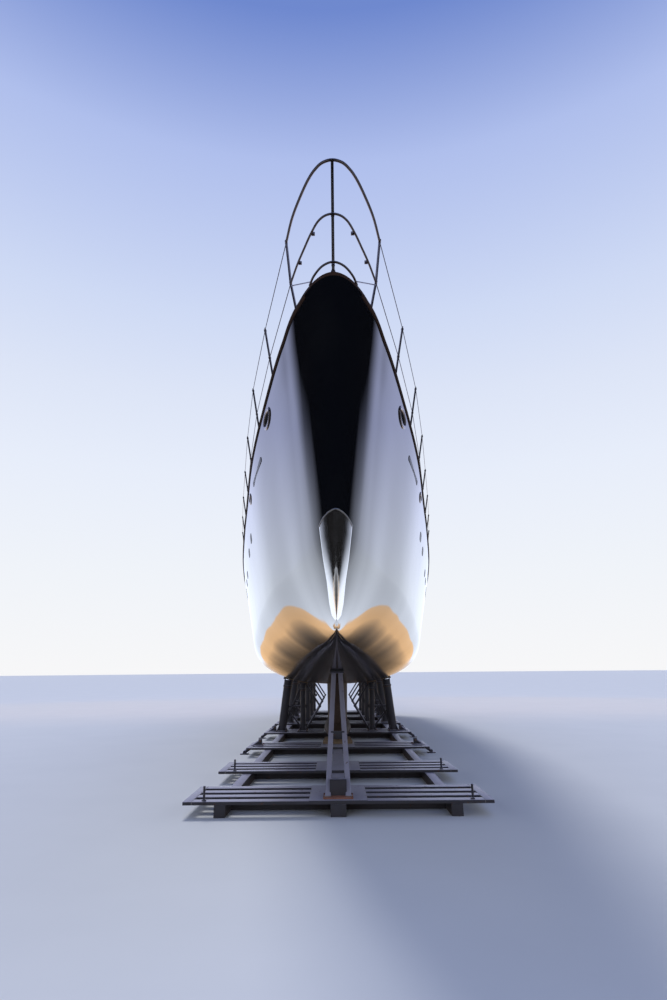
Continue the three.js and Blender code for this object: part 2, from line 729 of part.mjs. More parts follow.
// Steering: a pedestal and a wheel on each side
const helm = { x: 1750, s: 28300, depth: 360, width: 420, height: 1000, hubUp: 900, wheel: 600, rim: 17,
  spokes: 5, hub: 60, hubLength: 130, shaftRadius: 24 };
const helmFloor = wells.helm.floor + seatGap;

function pedestal(side) {
  const level = (scale, z, shift) => [[-1, -1], [1, -1], [1, 1], [-1, 1]].map(([u, v]) => new THREE.Vector3(
    side * helm.x + (u * helm.width * scale) / 2, bowY + helm.s + (v * helm.depth * scale) / 2 + shift, z));
  return loft([level(1, helmFloor, 0), level(0.8, helmFloor + helm.height * 0.8, helm.depth * 0.1),
    level(0.8, helmFloor + helm.height, helm.depth * 0.1)]);
}

// The wheel turns about the fore-and-aft axis through its own origin
function wheel() {
  const rim = new THREE.TorusGeometry(helm.wheel, helm.rim, 5, 22);
  rim.rotateX(Math.PI / 2);
  const spokes = Array.from({ length: helm.spokes }, (_, k) => {
    const angle = (2 * Math.PI * k) / helm.spokes + Math.PI / 2;
    return rod([0, 0, 0], [helm.wheel * Math.cos(angle), 0, helm.wheel * Math.sin(angle)], 10, 4);
  });
  const hub = rod([0, -helm.hubLength, 0], [0, 25, 0], helm.shaftRadius, 12);
  const boss = rod([0, -30, 0], [0, 30, 0], helm.hub, 12);
  return fuse([solid(rim), ...spokes, hub, boss]);
}

const wheelY = bowY + helm.s + helm.depth / 2 + helm.hubLength + seatGap;
for (const [word, side] of [['port', 1], ['stbd', -1]]) {
  piece(`helm_pedestal_${word}`, pedestal(side), 'carbon');
  piece(`steering_wheel_${word}`, wheel(), 'carbon', [side * helm.x, wheelY, helmFloor + helm.hubUp]);
}

// Winches
const winch = { base: 115, waist: 78, drum: 95, height: 250 };
const winchPlaces = [['fwd_port', 2345, 24300], ['fwd_stbd', -2345, 24300], ['aft_port', 2345, 25600],
  ['aft_stbd', -2345, 25600]];

function winchBody() {
  const { base, waist, drum, height } = winch;
  const profile = [[0, 0], [base, 0], [base, 30], [waist, 70], [waist, height * 0.62], [drum, height * 0.75],
    [drum, height * 0.92], [drum * 0.55, height], [0, height]];
  const body = new THREE.LatheGeometry(profile.map(([x, y]) => new THREE.Vector2(x, y)), 10);
  body.rotateX(Math.PI / 2);
  return solid(body);
}

for (const [word, x, s] of winchPlaces) {
  piece(`winch_${word}`, winchBody(), 'polishedSteel', [x, bowY + s, coaming.top + seatGap]);
}

function transomDoor() {
  const aft = bowY + hullLength;
  return block(-garage.half, garage.half, aft - garage.thickness, aft, garage.sill, garage.head);
}

piece('transom_door', transomDoor(), 'hullBlack');

// Underwater pieces

// Foil section of a chord running aft from its leading edge
const foilShares = [0, 0.03, 0.12, 0.3, 0.55, 0.8, 1];

function foilRing(s0, chord, thickness, z) {
  const halfAt = (u) => {
    if (u < 0.3) return (thickness / 2) * Math.sqrt(1 - (1 - u / 0.3) ** 2);
    return (thickness / 2) * Math.max(0.06, 1 - ((u - 0.3) / 0.7) ** 1.8);
  };
  const port = foilShares.map((u) => new THREE.Vector3(halfAt(u), bowY + s0 + u * chord, z));
  return [...port, ...mirrored(port.slice(1)).reverse()];
}

const keel = { s0: 16000, root: 4300, tip: 3700, tipShift: 350, thickness: 750, top: 3000, bottom: 700 };
const bulb = { s0: 15500, s1: 21500, half: 470, bottom: 450, top: 1020 };
const bulbShares = [[0, 0.12], [0.03, 0.45], [0.1, 0.75], [0.25, 1], [0.55, 1], [0.8, 0.66], [0.94, 0.3],
  [1, 0.1]];

function keelBulb() {
  const middle = (bulb.bottom + bulb.top) / 2;
  const tall = (bulb.top - bulb.bottom) / 2;
  const sides = 12;
  return loft(bulbShares.map(([along, size]) => Array.from({ length: sides }, (_, k) => {
    const angle = (2 * Math.PI * k) / sides;
    const up = Math.max(Math.sin(angle), -0.87) * tall * size;
    const drop = -tall * 0.87 * (1 - size);
    return new THREE.Vector3(bulb.half * size * Math.cos(angle), bowY + bulb.s0 + along * (bulb.s1 - bulb.s0),
      middle + up + drop);
  })));
}

function keelFin(ballast) {
  const fin = loft([
    foilRing(keel.s0 + keel.tipShift, keel.tip, keel.thickness * 0.9, keel.bottom),
    foilRing(keel.s0, keel.root, keel.thickness, keel.top),
  ]);
  return seatOn(hangUnder(fin, [rawHull]), [ballast]);
}

const ballast = keelBulb();
piece('keel_fin', keelFin(ballast), 'antifoul');
piece('keel_bulb', ballast, 'antifoul');

// The rudder blade hangs on its stock and turns about the stock's upright axis
function rudderBody() {
  const { chord, thickness, top, bottom, stock, stockTop } = rudder;
  const lead = -chord * 0.28;
  const ring = (scale, z) => foilRing(0, chord * scale, thickness * scale, z)
    .map((p) => new THREE.Vector3(p.x, p.y - bowY + lead * scale, p.z));
  const blade = loft([ring(0.72, bottom), ring(0.95, (bottom + top) / 2), ring(1, top)]);
  return blade.add(rod([0, 0, top - 300], [0, 0, stockTop], stock, 32));
}

piece('rudder', rudderBody(), 'antifoul', [0, bowY + rudder.s, 0]);

// The propeller turns with its shaft, modelled along its own Y axis with the hub at the origin
const propeller = { radius: 430, hub: 85, hubLength: 230, blades: 4, pitch: 58, thickness: 20, chord: 240 };
const shaftSlope = Math.atan2(shaft.z1 - shaft.z0, shaft.s1 - shaft.s0);
const shaftLength = Math.hypot(shaft.z1 - shaft.z0, shaft.s1 - shaft.s0);

function propellerBody() {
  const { radius, hub, hubLength, blades, pitch, thickness, chord } = propeller;
  const shape = new THREE.Shape();
  shape.absellipse(0, radius * 0.56, chord / 2, radius * 0.44, 0, 2 * Math.PI);
  const turned = Array.from({ length: blades }, (_, k) => {
    const blade = new THREE.ExtrudeGeometry(shape, { depth: thickness, bevelEnabled: false, curveSegments: 6 });
    blade.translate(0, 0, -thickness / 2);
    blade.rotateY((pitch * Math.PI) / 180);
    blade.rotateX(Math.PI / 2);
    blade.rotateY((2 * Math.PI * k) / blades);
    return solid(blade);
  });
  const line = rod([0, -shaftLength, 0], [0, hubLength / 2, 0], shaft.radius, shaft.sides);
  const boss = rod([0, -hubLength / 2, 0], [0, hubLength / 2, 0], hub, 16, hub * 0.7);
  return fuse([line, boss, ...turned]);
}

const propellerMesh = piece('propeller', propellerBody(), 'bronze', shaftPoint(shaft.s1));
propellerMesh.rotation.x = shaftSlope;

const bracket = { s: 27250, barrel: 75, length: 260, arm: 130, thickness: 38, top: 3000 };

function shaftBracket() {
  const along = (s) => shaftPoint(s);
  const [s0, s1] = [bracket.s - bracket.length / 2, bracket.s + bracket.length / 2];
  const arm = loft([bracket.top, along(bracket.s)[2]].map((z) => foilRing(bracket.s - bracket.arm / 2,
    bracket.arm, bracket.thickness, z)));
  const barrel = rod(along(s0), along(s1), bracket.barrel, 16);
  const bore = rod(along(s0 - 300), along(s1 + 300), shaft.radius + bearingGap, shaft.sides);
  return hangUnder(fuse([arm, barrel]).subtract(bore), [rawHull]);
}

piece('shaft_bracket', shaftBracket(), 'bronze');

// Cradle: three long beams on the floor, seven bays across them, the bow shore and two keel blocks
const beams = { top: 220, spineHalf: 150, side: 2250, sideHalf: 110, s0: 7000, s1: 34250, tieWidth: 280,
  tieTop: 245 };
const bay = { width: 5920, depth: 1600, top: 280, endWidth: 170, barWidth: 244, bars: 4, plateHalf: 555,
  plateDrop: 34, plateTop: 286 };
const bayStarts = [7000, 10600, 15300, 20200, 24500, 28500, 32490];
const posts = { outerFoot: 2300, outerHead: 2030, outerRadius: 168, innerX: 1430, innerRadius: 112,
  cap: 430, capThickness: 90, plateHalf: 230, plateReach: 380, plate: 20 };
const brace = { radius: 38, waistX: 727, waistZ: 1240, headZ: 2300, footInset: 100, sideInset: 50 };
const pin = { x: 2570, radius: 22, top: 545, setBack: 90 };
const outrigger = { innerX: 2600, top: 410, outerX: 3120, footZ: 40, radius: 55, lug: 70, padHalf: 130 };

const beamSpans = {
  cradle_spine: [-beams.spineHalf, beams.spineHalf],
  cradle_beam_port: [beams.side - beams.sideHalf, beams.side + beams.sideHalf],
  cradle_beam_stbd: [-beams.side - beams.sideHalf, -beams.side + beams.sideHalf],
};

// Ties of a bay lie on the floor between the beams
function bayTie(y) {
  return block(beams.spineHalf + seatGap, beams.side - beams.sideHalf - seatGap, y - beams.tieWidth / 2,
    y + beams.tieWidth / 2, 0, beams.tieTop);
}

// Height of the hull's underside at a station and half-breadth, read from the half section
function undersideZ(s, x) {
  const points = halfSection(s);
  const k = points.findIndex((p, n) => n > 0 && p.x >= x);
  const [a, b] = [points[k - 1], points[k]];
  return a.z + ((b.z - a.z) * (x - a.x)) / (b.x - a.x);
}

function postCap(x, s) {
  const reach = 200;
  const slope = Math.atan2(undersideZ(s, x + reach) - undersideZ(s, x - reach), 2 * reach);
  const cap = new THREE.BoxGeometry(posts.cap, posts.cap, posts.capThickness * 2);
  cap.rotateY(-slope);
  cap.translate(x, bowY + s, undersideZ(s, x));
  return solid(cap);
}

function postPlate(x, y) {
  return block(x - posts.plateHalf, x + posts.plateHalf, y - posts.plateReach, y + posts.plateReach,
    bay.top - posts.plate, bay.top + posts.plate);
}

function mirroredSolid(body) {
  return body.mirror([1, 0, 0]);
}

function portPosts(start, number) {
  const s = start + bay.depth / 2;
  const y = bowY + s;
  const foot = bay.top - 20;
  if (number < 3) {
    const pinY = bowY + start + pin.setBack;
    return [rod([pin.x, pinY, foot], [pin.x, pinY, pin.top], pin.radius, 8)];
  }
  if (number < 4) return [];
  const outerTop = [posts.outerHead, y, undersideZ(s, posts.outerHead) + 150];
  const innerTop = [posts.innerX, y, undersideZ(s, posts.innerX) + 150];
  const waist = [brace.waistX, y, brace.waistZ];
  return [
    rod([posts.outerFoot, y, foot], outerTop, posts.outerRadius, 8),
    rod([posts.innerX, y, foot], innerTop, posts.innerRadius, 8),
    rod([posts.innerX, y, brace.headZ], waist, brace.radius, 4),
    rod(waist, [posts.innerX - brace.footInset, y, foot], brace.radius, 4),
    rod([posts.innerX, y, brace.waistZ], [posts.outerFoot - brace.sideInset, y, brace.waistZ], brace.radius, 4),
    rod([posts.innerX, y, foot], [posts.outerFoot - brace.sideInset, y, brace.waistZ], brace.radius, 4),
    rod([posts.innerX, y, brace.headZ], [posts.outerFoot - brace.sideInset, y, foot], brace.radius, 4),
    postCap(posts.outerHead, s),
    postCap(posts.innerX, s),
    postPlate(posts.outerFoot, y),
    postPlate(posts.innerX, y),
  ];
}

// Arm from a lug on the end of a bay down to a pad on the floor outside it
function outriggerArm(y) {
  const { innerX, top, outerX, footZ, radius, lug, padHalf } = outrigger;
  return [
    block(innerX - lug * 2, bay.width / 2 - lug, y - padHalf * 1.5, y + padHalf * 1.5, bay.top - 20, bay.top + 15),
    block(innerX - lug, innerX + lug, y - lug, y + lug, bay.top - 20, top + lug),
    rod([innerX, y, top], [outerX, y, footZ + 20], radius, 8),
    block(outerX - padHalf, outerX + padHalf, y - padHalf, y + padHalf, 0, footZ),
  ];
}

function bayBody(start, number) {
  const y = bowY + start;
  const bottom = beams.top + seatGap;
  const half = bay.width / 2;
  const pitch = (bay.depth - bay.barWidth) / (bay.bars - 1);
  const bars = Array.from({ length: bay.bars }, (_, k) => block(-half, half, y + k * pitch,
    y + k * pitch + bay.barWidth, bottom, bay.top));
  const ends = [[half - bay.endWidth, half], [-half, -half + bay.endWidth]].map(([x0, x1]) => block(x0, x1, y,
    y + bay.depth, bottom, bay.top));
  const plate = block(-bay.plateHalf, bay.plateHalf, y, y + bay.depth, bay.top - bay.plateDrop,
    bay.plateTop);
  const port = [...portPosts(start, number), bayTie(y + bay.depth / 2)];
  if (number > 2) port.push(...outriggerArm(y + bay.depth / 2));
  const all = [...bars, ...ends, plate, ...port, ...port.map(mirroredSolid)];
  return hangUnder(fuse(all), [rawHull]);
}

for (const [name, [x0, x1]] of Object.entries(beamSpans)) {
  piece(name, block(x0, x1, bowY + beams.s0, bowY + beams.s1, 0, beams.top), 'cradleSteel');
}
bayStarts.forEach((start, k) => piece(`cradle_bay_${k + 1}`, bayBody(start, k + 1), 'cradleSteel'));

// Bow shore: two raking legs that close towards the keel line, on a foot plate
const shore = { footS: 7320, headS: 9600, footHalf: 202, headHalf: 62, leg: 54, plateHalf: 290,
  plateDepth: 420, plate: 24, gussetTop: 610, strapZ: 1330, strapHalf: 80, headUp: 250 };

function bowShore() {
  const floor = bay.plateTop + seatGap;
  const headZ = tableValue('keel', shore.headS) + shore.headUp;
  const legs = [1, -1].map((side) => {
    const ring = (x, s, z) => [[-1, -1], [1, -1], [1, 1], [-1, 1]].map(([u, v]) => new THREE.Vector3(
      side * x + u * shore.leg, bowY + s + v * shore.leg, z));
    return loft([ring(shore.footHalf, shore.footS, floor), ring(shore.headHalf, shore.headS, headZ)]);
  });
  const y = bowY + shore.footS;
  const plate = block(-shore.plateHalf, shore.plateHalf, y - 200, y - 200 + shore.plateDepth, floor,
    floor + shore.plate);
  const rakeY = (z) => y + ((shore.headS - shore.footS) * (z - floor)) / (headZ - floor);
  const strap = (z, height) => block(-shore.footHalf, shore.footHalf, rakeY(z) - 20, rakeY(z) + 20, z - height,
    z + height);
  const gusset = block(-shore.footHalf, shore.footHalf, y - 10, y + 190, floor, shore.gussetTop);
  return hangUnder(fuse([...legs, plate, gusset, strap(shore.strapZ, shore.strapHalf)]), [rawHull]);
}

piece('bow_shore', bowShore(), 'cradleSteel');

const keelBlocks = { fwd: 16400, aft: 20900, half: 500, depth: 420 };

for (const word of ['fwd', 'aft']) {
  const y = bowY + keelBlocks[word];
  const stack = block(-keelBlocks.half, keelBlocks.half, y - keelBlocks.depth / 2, y + keelBlocks.depth / 2,
    bay.plateTop + seatGap, bulb.bottom + 60);
  piece(`keel_block_${word}`, hangUnder(stack, [ballast]), 'timber');
}

export default groups;
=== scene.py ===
import json
import math

import bmesh
import bpy
from mathutils import Matrix, Vector

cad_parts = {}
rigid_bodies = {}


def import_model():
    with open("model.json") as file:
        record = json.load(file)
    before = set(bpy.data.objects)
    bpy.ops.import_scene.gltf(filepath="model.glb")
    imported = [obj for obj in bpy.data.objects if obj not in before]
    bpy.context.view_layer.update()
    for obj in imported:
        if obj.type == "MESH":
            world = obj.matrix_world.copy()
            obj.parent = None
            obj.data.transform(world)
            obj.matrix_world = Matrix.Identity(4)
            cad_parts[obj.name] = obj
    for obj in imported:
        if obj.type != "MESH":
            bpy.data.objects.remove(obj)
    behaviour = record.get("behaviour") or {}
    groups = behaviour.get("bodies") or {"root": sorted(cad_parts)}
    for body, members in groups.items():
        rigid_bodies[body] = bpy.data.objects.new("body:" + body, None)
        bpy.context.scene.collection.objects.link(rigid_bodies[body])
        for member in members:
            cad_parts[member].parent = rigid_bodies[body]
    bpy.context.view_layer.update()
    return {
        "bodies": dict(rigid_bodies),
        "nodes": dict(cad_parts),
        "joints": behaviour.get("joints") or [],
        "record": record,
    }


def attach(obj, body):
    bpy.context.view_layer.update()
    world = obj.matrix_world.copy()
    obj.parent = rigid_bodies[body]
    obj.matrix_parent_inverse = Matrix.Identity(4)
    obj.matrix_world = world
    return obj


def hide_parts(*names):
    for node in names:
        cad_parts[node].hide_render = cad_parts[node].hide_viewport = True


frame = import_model()

view = {
    "eye": (0.0, -23.282, 2.65),
    "pitch": 15.9,
    "roll": -0.5,
    "yaw": 0.19,
    "focal": 21.6,
    "sensor": 36.0,
}


def makeCamera():
    camera = bpy.data.cameras.new("camera")
    camera.sensor_fit = "VERTICAL"
    camera.sensor_width = view["sensor"]
    camera.sensor_height = view["sensor"]
    camera.lens = view["focal"]
    camera.clip_end = 2000
    holder = bpy.data.objects.new("camera", camera)
    bpy.context.scene.collection.objects.link(holder)
    pitch = Matrix.Rotation(math.radians(90 + view["pitch"]), 4, "X")
    roll = Matrix.Rotation(math.radians(view["roll"]), 4, "Z")
    yaw = Matrix.Rotation(math.radians(view["yaw"]), 4, "Z")
    holder.matrix_world = Matrix.Translation(view["eye"]) @ yaw @ pitch @ roll
    bpy.context.scene.camera = holder


makeCamera()


# A node's output that can stand in a sum
class Term:
    def __init__(self, graph, socket):
        self.graph = graph
        self.socket = socket

    def math(self, operation, *others):
        return self.graph.node("ShaderNodeMath", {"operation": operation}, dict(enumerate((self, *others))))

    def __add__(self, other):
        return self.math("ADD", other)

    def __sub__(self, other):
        return self.math("SUBTRACT", other)

    def __mul__(self, other):
        return self.math("MULTIPLY", other)

    def __rsub__(self, other):
        return self.graph.node("ShaderNodeMath", {"operation": "SUBTRACT"}, {0: other, 1: self})

    __radd__ = __add__
    __rmul__ = __mul__


# A node tree, for a finish or for geometry
class Graph:
    def __init__(self, tree):
        self.tree = tree

    def node(self, kind, settings=None, inputs=None, output=0):
        made = self.tree.nodes.new(kind)
        for key, value in (settings or {}).items():
            if key == "stops":
                steps = made.color_ramp.elements
                while len(steps) < len(value):
                    steps.new(0.5)
                for step, (place, color) in zip(steps, value):
                    step.position = place
                    step.color = (*color, 1)
            else:
                setattr(made, key, value)
        for key, value in (inputs or {}).items():
            self.plug(made.inputs[key], value)
        return Term(self, made.outputs[output])

    def plug(self, socket, value):
        if isinstance(value, Term):
            self.tree.links.new(value.socket, socket)
        elif socket.type == "RGBA" and len(value) == 3:
            socket.default_value = (*value, 1)
        else:
            socket.default_value = value


class Finish(Graph):
    def __init__(self, name, slot, **fixed):
        self.material = bpy.data.materials.new(name)
        self.material.use_nodes = True
        super().__init__(self.material.node_tree)
        self.shader = self.tree.nodes["Principled BSDF"]
        self.slot = slot
        for words, value in fixed.items():
            self.feed(words, value)

    def feed(self, words, value):
        names = {"color": "Base Color", "coat": "Coat Weight", "coatRoughness": "Coat Roughness", "ior": "IOR",
                 "sheen": "Sheen Weight", "specular": "Specular IOR Level", "glow": "Emission Color",
                 "glowStrength": "Emission Strength"}
        self.plug(self.shader.inputs[names.get(words, words.capitalize())], value)

    def place(self, scale=(1, 1, 1), turn=(0, 0, 0)):
        spot = self.node("ShaderNodeTexCoord", output="Object")
        return self.node("ShaderNodeMapping", None, {"Vector": spot, "Rotation": turn, "Scale": scale})

    def axis(self, letter):
        spot = self.node("ShaderNodeTexCoord", output="Object")
        return self.node("ShaderNodeSeparateXYZ", None, {0: spot}, letter)

    def noise(self, scale, detail=4.0, stretch=(1, 1, 1), rough=0.55, warp=0.0):
        return self.node("ShaderNodeTexNoise", None, {"Vector": self.place(stretch), "Scale": scale,
                                                      "Detail": detail, "Roughness": rough, "Distortion": warp})

    def waves(self, direction, scale, stretch=(1, 1, 1), turn=(0, 0, 0), warp=0.0, detail=2.0):
        return self.node("ShaderNodeTexWave", {"bands_direction": direction}, {
            "Vector": self.place(stretch, turn), "Scale": scale, "Distortion": warp, "Detail": detail}, 1)

    def mask(self, value, low, high):
        return self.node("ShaderNodeMapRange", None, {0: value, 1: low, 2: high})

    def mix(self, factor, first, second):
        return self.node("ShaderNodeMix", {"data_type": "RGBA"}, {0: factor, 6: first, 7: second}, 2)

    def bump(self, height, strength, distance):
        self.feed("normal", self.node("ShaderNodeBump", None, {
            "Height": height, "Strength": strength, "Distance": distance}))


# Finishes
def makeHullGloss(keelLine=3.07):
    made = Finish("hullGlossBlack", "hull_black", specular=0.2)
    below = made.mask(made.axis("Z"), keelLine + 0.03, keelLine - 0.22)
    low = made.mask(made.axis("Z"), keelLine + 0.9, keelLine)
    streaks = made.mask(made.noise(6.0, 3.0, (1, 5, 0.25)), 0.58, 0.8)
    dust = made.mask(made.noise(1.1, 6.0), 0.5, 0.8)
    grime = streaks * low * 0.45 + dust * 0.05
    side = made.mix(grime, (0.0035, 0.004, 0.0055), (0.06, 0.055, 0.047))
    bottom = made.mix(made.noise(2.2, 6.0), (0.005, 0.0035, 0.003), (0.02, 0.0135, 0.0095))
    made.feed("color", made.mix(below, side, bottom))
    made.feed("roughness", grime * 0.3 + below * 0.12 + made.mask(made.axis("Y"), 18.19, 18.21) * 0.55 + 0.03)
    made.bump(made.noise(0.5, 1.0, (1, 1, 2.4)), 0.12, 0.05)
    return made


def makeLaidTeak(plank=0.07, seam=0.045):
    made = Finish("laidTeak", "teak", specular=0.35)
    lane = made.axis("X") * (1 / plank) + 1000.0
    across = lane.math("FRACT")
    shade = made.node("ShaderNodeTexWhiteNoise", {"noise_dimensions": "1D"}, {"W": lane.math("FLOOR")})
    seams = (across - 0.5).math("ABSOLUTE").math("GREATER_THAN", 0.5 - seam)
    along = made.axis("Y") * 0.4 + shade * 7.0 + 100.0
    butts = (along.math("FRACT") - 0.5).math("ABSOLUTE").math("GREATER_THAN", 0.4984)
    caulk = seams.math("MAXIMUM", butts)
    grain = made.noise(24.0, 5.0, (1, 0.05, 1), 0.6, 0.6)
    tone = made.mix(grain, (0.33, 0.225, 0.135), (0.5, 0.375, 0.25))
    tone = made.mix(shade * 0.45, tone, (0.29, 0.2, 0.125))
    tone = made.mix(made.mask(made.noise(0.8, 5.0), 0.4, 0.75) * 0.4, tone, (0.45, 0.42, 0.37))
    made.feed("color", made.mix(caulk, tone, (0.012, 0.012, 0.013)))
    made.feed("roughness", grain * 0.15 - caulk * 0.2 + 0.6)
    made.bump(grain * 0.3 - caulk, 0.35, 0.002)
    return made


def makeVarnish():
    made = Finish("varnishedTeak", "teak", coat=1.0, coatRoughness=0.06)
    grain = made.noise(16.0, 5.0, (1, 0.07, 1), 0.6, 1.2)
    tone = made.mix(grain, (0.1, 0.04, 0.015), (0.25, 0.115, 0.045))
    made.feed("color", made.mix(made.noise(2.6, 3.0, (1, 0.2, 1)) * 0.4, tone, (0.15, 0.065, 0.026)))
    made.feed("roughness", grain * 0.12 + 0.28)
    made.bump(grain, 0.12, 0.001)
    return made


def makeOiledTeak():
    made = Finish("oiledTeak", "teak", specular=0.08)
    grain = made.noise(16.0, 5.0, (1, 0.07, 1), 0.6, 1.2)
    made.feed("color", made.mix(grain, (0.02, 0.01, 0.007), (0.05, 0.025, 0.016)))
    made.feed("roughness", grain * 0.15 + 0.6)
    made.bump(grain, 0.15, 0.001)
    return made


def makeSmokedPane():
    made = Finish("smokedPane", "dark_glass", specular=0.08)
    smear = made.mask(made.noise(3.0, 5.0), 0.4, 0.9)
    made.feed("color", made.mix(smear, (0.003, 0.003, 0.004), (0.009, 0.009, 0.01)))
    made.feed("roughness", smear * 0.1 + 0.3)
    return made


def makeSteel(name, dark, light, gloss):
    made = Finish(name, "polished_steel", metallic=1.0)
    haze = made.noise(8.0, 5.0)
    brushed = made.noise(150.0, 2.0, (1, 1, 0.15))
    made.feed("color", made.mix(haze, dark, light))
    made.feed("roughness", haze * 0.12 + brushed * 0.05 + gloss)
    made.bump(brushed, 0.03, 0.0004)
    return made


def makeWhitePaint():
    made = Finish("offWhitePaint", "white_paint", coat=0.6, coatRoughness=0.08)
    soil = made.mask(made.noise(2.0, 6.0), 0.45, 0.85)
    made.feed("color", made.mix(soil * 0.35, (0.76, 0.76, 0.745), (0.62, 0.6, 0.56)))
    made.feed("roughness", soil * 0.18 + 0.26)
    made.bump(made.noise(60.0, 2.0), 0.04, 0.0006)
    return made


def makeTintedGlass():
    made = Finish("tintedGlass", "dark_glass", alpha=0.7, coat=1.0, coatRoughness=0.02)
    smear = made.mask(made.noise(1.6, 5.0), 0.4, 0.9)
    made.feed("color", made.mix(smear, (0.008, 0.01, 0.012), (0.018, 0.02, 0.022)))
    made.feed("roughness", smear * 0.08 + 0.02)
    return made


def makeBlackGlass():
    made = Finish("blackGlass", "dark_glass", coat=1.0, coatRoughness=0.02)
    smear = made.mask(made.noise(3.0, 5.0), 0.4, 0.9)
    made.feed("color", made.mix(smear, (0.004, 0.005, 0.006), (0.014, 0.015, 0.017)))
    made.feed("roughness", smear * 0.1 + 0.03)
    return made


def makeBottomPaint():
    made = Finish("bottomPaint", "antifoul", specular=0.2)
    cloud = made.noise(2.4, 6.0)
    roller = made.noise(90.0, 3.0)
    scuff = made.mask(made.noise(6.0, 7.0, (1, 0.4, 1.6)), 0.6, 0.74)
    tone = made.mix(cloud, (0.034, 0.021, 0.015), (0.07, 0.044, 0.03))
    made.feed("color", made.mix(scuff * 0.5, tone, (0.12, 0.085, 0.06)))
    made.feed("roughness", cloud * 0.2 + roller * 0.08 + 0.5)
    made.bump(roller * 0.4 + cloud, 0.14, 0.003)
    return made


def makeBronze():
    made = Finish("castBronze", "bronze", metallic=1.0)
    dull = made.mask(made.noise(5.0, 6.0), 0.42, 0.75)
    cast = made.noise(40.0, 5.0)
    made.feed("color", made.mix(dull, (0.62, 0.41, 0.17), (0.3, 0.215, 0.12)))
    made.feed("roughness", cast * 0.15 + dull * 0.25 + 0.16)
    made.bump(cast, 0.1, 0.001)
    return made


def makeCover():
    made = Finish("wovenCover", "cushion", sheen=0.25, specular=0.25)
    warpThreads = made.waves("X", 110.0, warp=0.3)
    weftThreads = made.waves("Y", 110.0, warp=0.3)
    weave = warpThreads.math("MAXIMUM", weftThreads)
    tone = made.mix(made.noise(3.0, 5.0), (0.5, 0.47, 0.41), (0.61, 0.58, 0.52))
    made.feed("color", made.mix(weave * 0.25, tone, (0.36, 0.33, 0.28)))
    made.feed("roughness", weave * 0.08 + 0.78)
    made.bump(weave, 0.25, 0.0015)
    return made


def makeCradlePaint(name, dark, light, stain):
    made = Finish(name, "cradle_steel", specular=0.5)
    cloud = made.noise(1.6, 6.0)
    chips = made.mask(made.noise(10.0, 8.0, rough=0.62), 0.64, 0.67)
    runs = made.mask(made.noise(5.0, 6.0, (1.4, 1.4, 0.3)), 0.56, 0.76)
    rust = made.mix(made.noise(30.0, 5.0), (0.06, 0.026, 0.014), (0.15, 0.07, 0.038))
    tone = made.mix(cloud, dark, light)
    tone = made.mix(runs * 0.4, tone, stain)
    made.feed("color", made.mix(chips * 0.85, tone, rust))
    made.feed("roughness", chips * 0.3 + cloud * 0.15 + 0.4)
    made.feed("metallic", 0.25 - chips * 0.25)
    made.bump(made.noise(120.0, 3.0) * 0.3 - chips * 0.6, 0.25, 0.002)
    return made


# Upward faces of a cradle piece take a much lighter copy of the paint: painted top light, with some dust
def lightTopsAndDust(made):
    data = made.data
    paint = data.materials.find(cradlePaint.material.name)
    data.materials.append(cradleDust.material)
    for face in data.polygons:
        if face.normal.z > 0.4 and face.material_index == paint:
            face.material_index = len(data.materials) - 1


def makePrimer():
    made = Finish("redPrimer", "cradle_steel", specular=0.3)
    rust = made.mask(made.noise(12.0, 7.0), 0.42, 0.68)
    tone = made.mix(made.noise(5.0, 7.0), (0.2, 0.075, 0.045), (0.33, 0.15, 0.1))
    made.feed("color", made.mix(rust * 0.5, tone, (0.13, 0.06, 0.035)))
    made.feed("roughness", rust * 0.2 + 0.6)
    made.bump(rust, 0.2, 0.002)
    return made


def makeBareSteel(name, dark, light, gloss):
    made = Finish(name, "cradle_steel", specular=0.4)
    grain = made.noise(26.0, 6.0)
    made.feed("color", made.mix(grain, dark, light))
    made.feed("roughness", grain * 0.2 + gloss)
    made.bump(grain, 0.3, 0.002)
    return made


def makeTimber():
    made = Finish("roughTimber", "timber", specular=0.25)
    rings = made.waves("Z", 9.0, (0.3, 1, 1), warp=6.0, detail=3.0)
    fibre = made.noise(40.0, 5.0, (0.06, 1, 1))
    tone = made.mix(rings, (0.13, 0.085, 0.05), (0.27, 0.19, 0.12))
    made.feed("color", made.mix(fibre * 0.5, tone, (0.18, 0.14, 0.1)))
    made.feed("roughness", fibre * 0.15 + 0.72)
    made.bump(fibre, 0.4, 0.003)
    return made


def makeRubber():
    made = Finish("blackRubber", "carbon", specular=0.3)
    grit = made.noise(80.0, 4.0)
    made.feed("color", made.mix(grit, (0.012, 0.012, 0.012), (0.04, 0.04, 0.04)))
    made.feed("roughness", grit * 0.2 + 0.6)
    made.bump(grit, 0.2, 0.001)
    return made


def makeCarbon():
    made = Finish("clearCarbon", "carbon", coat=1.0, coatRoughness=0.04)
    twill = made.waves("DIAGONAL", 60.0).math("MAXIMUM", made.waves("DIAGONAL", 60.0, turn=(0, 0, math.pi / 2)))
    made.feed("color", made.mix(twill, (0.008, 0.008, 0.009), (0.028, 0.028, 0.031)))
    made.feed("roughness", twill * 0.15 + 0.25)
    return made


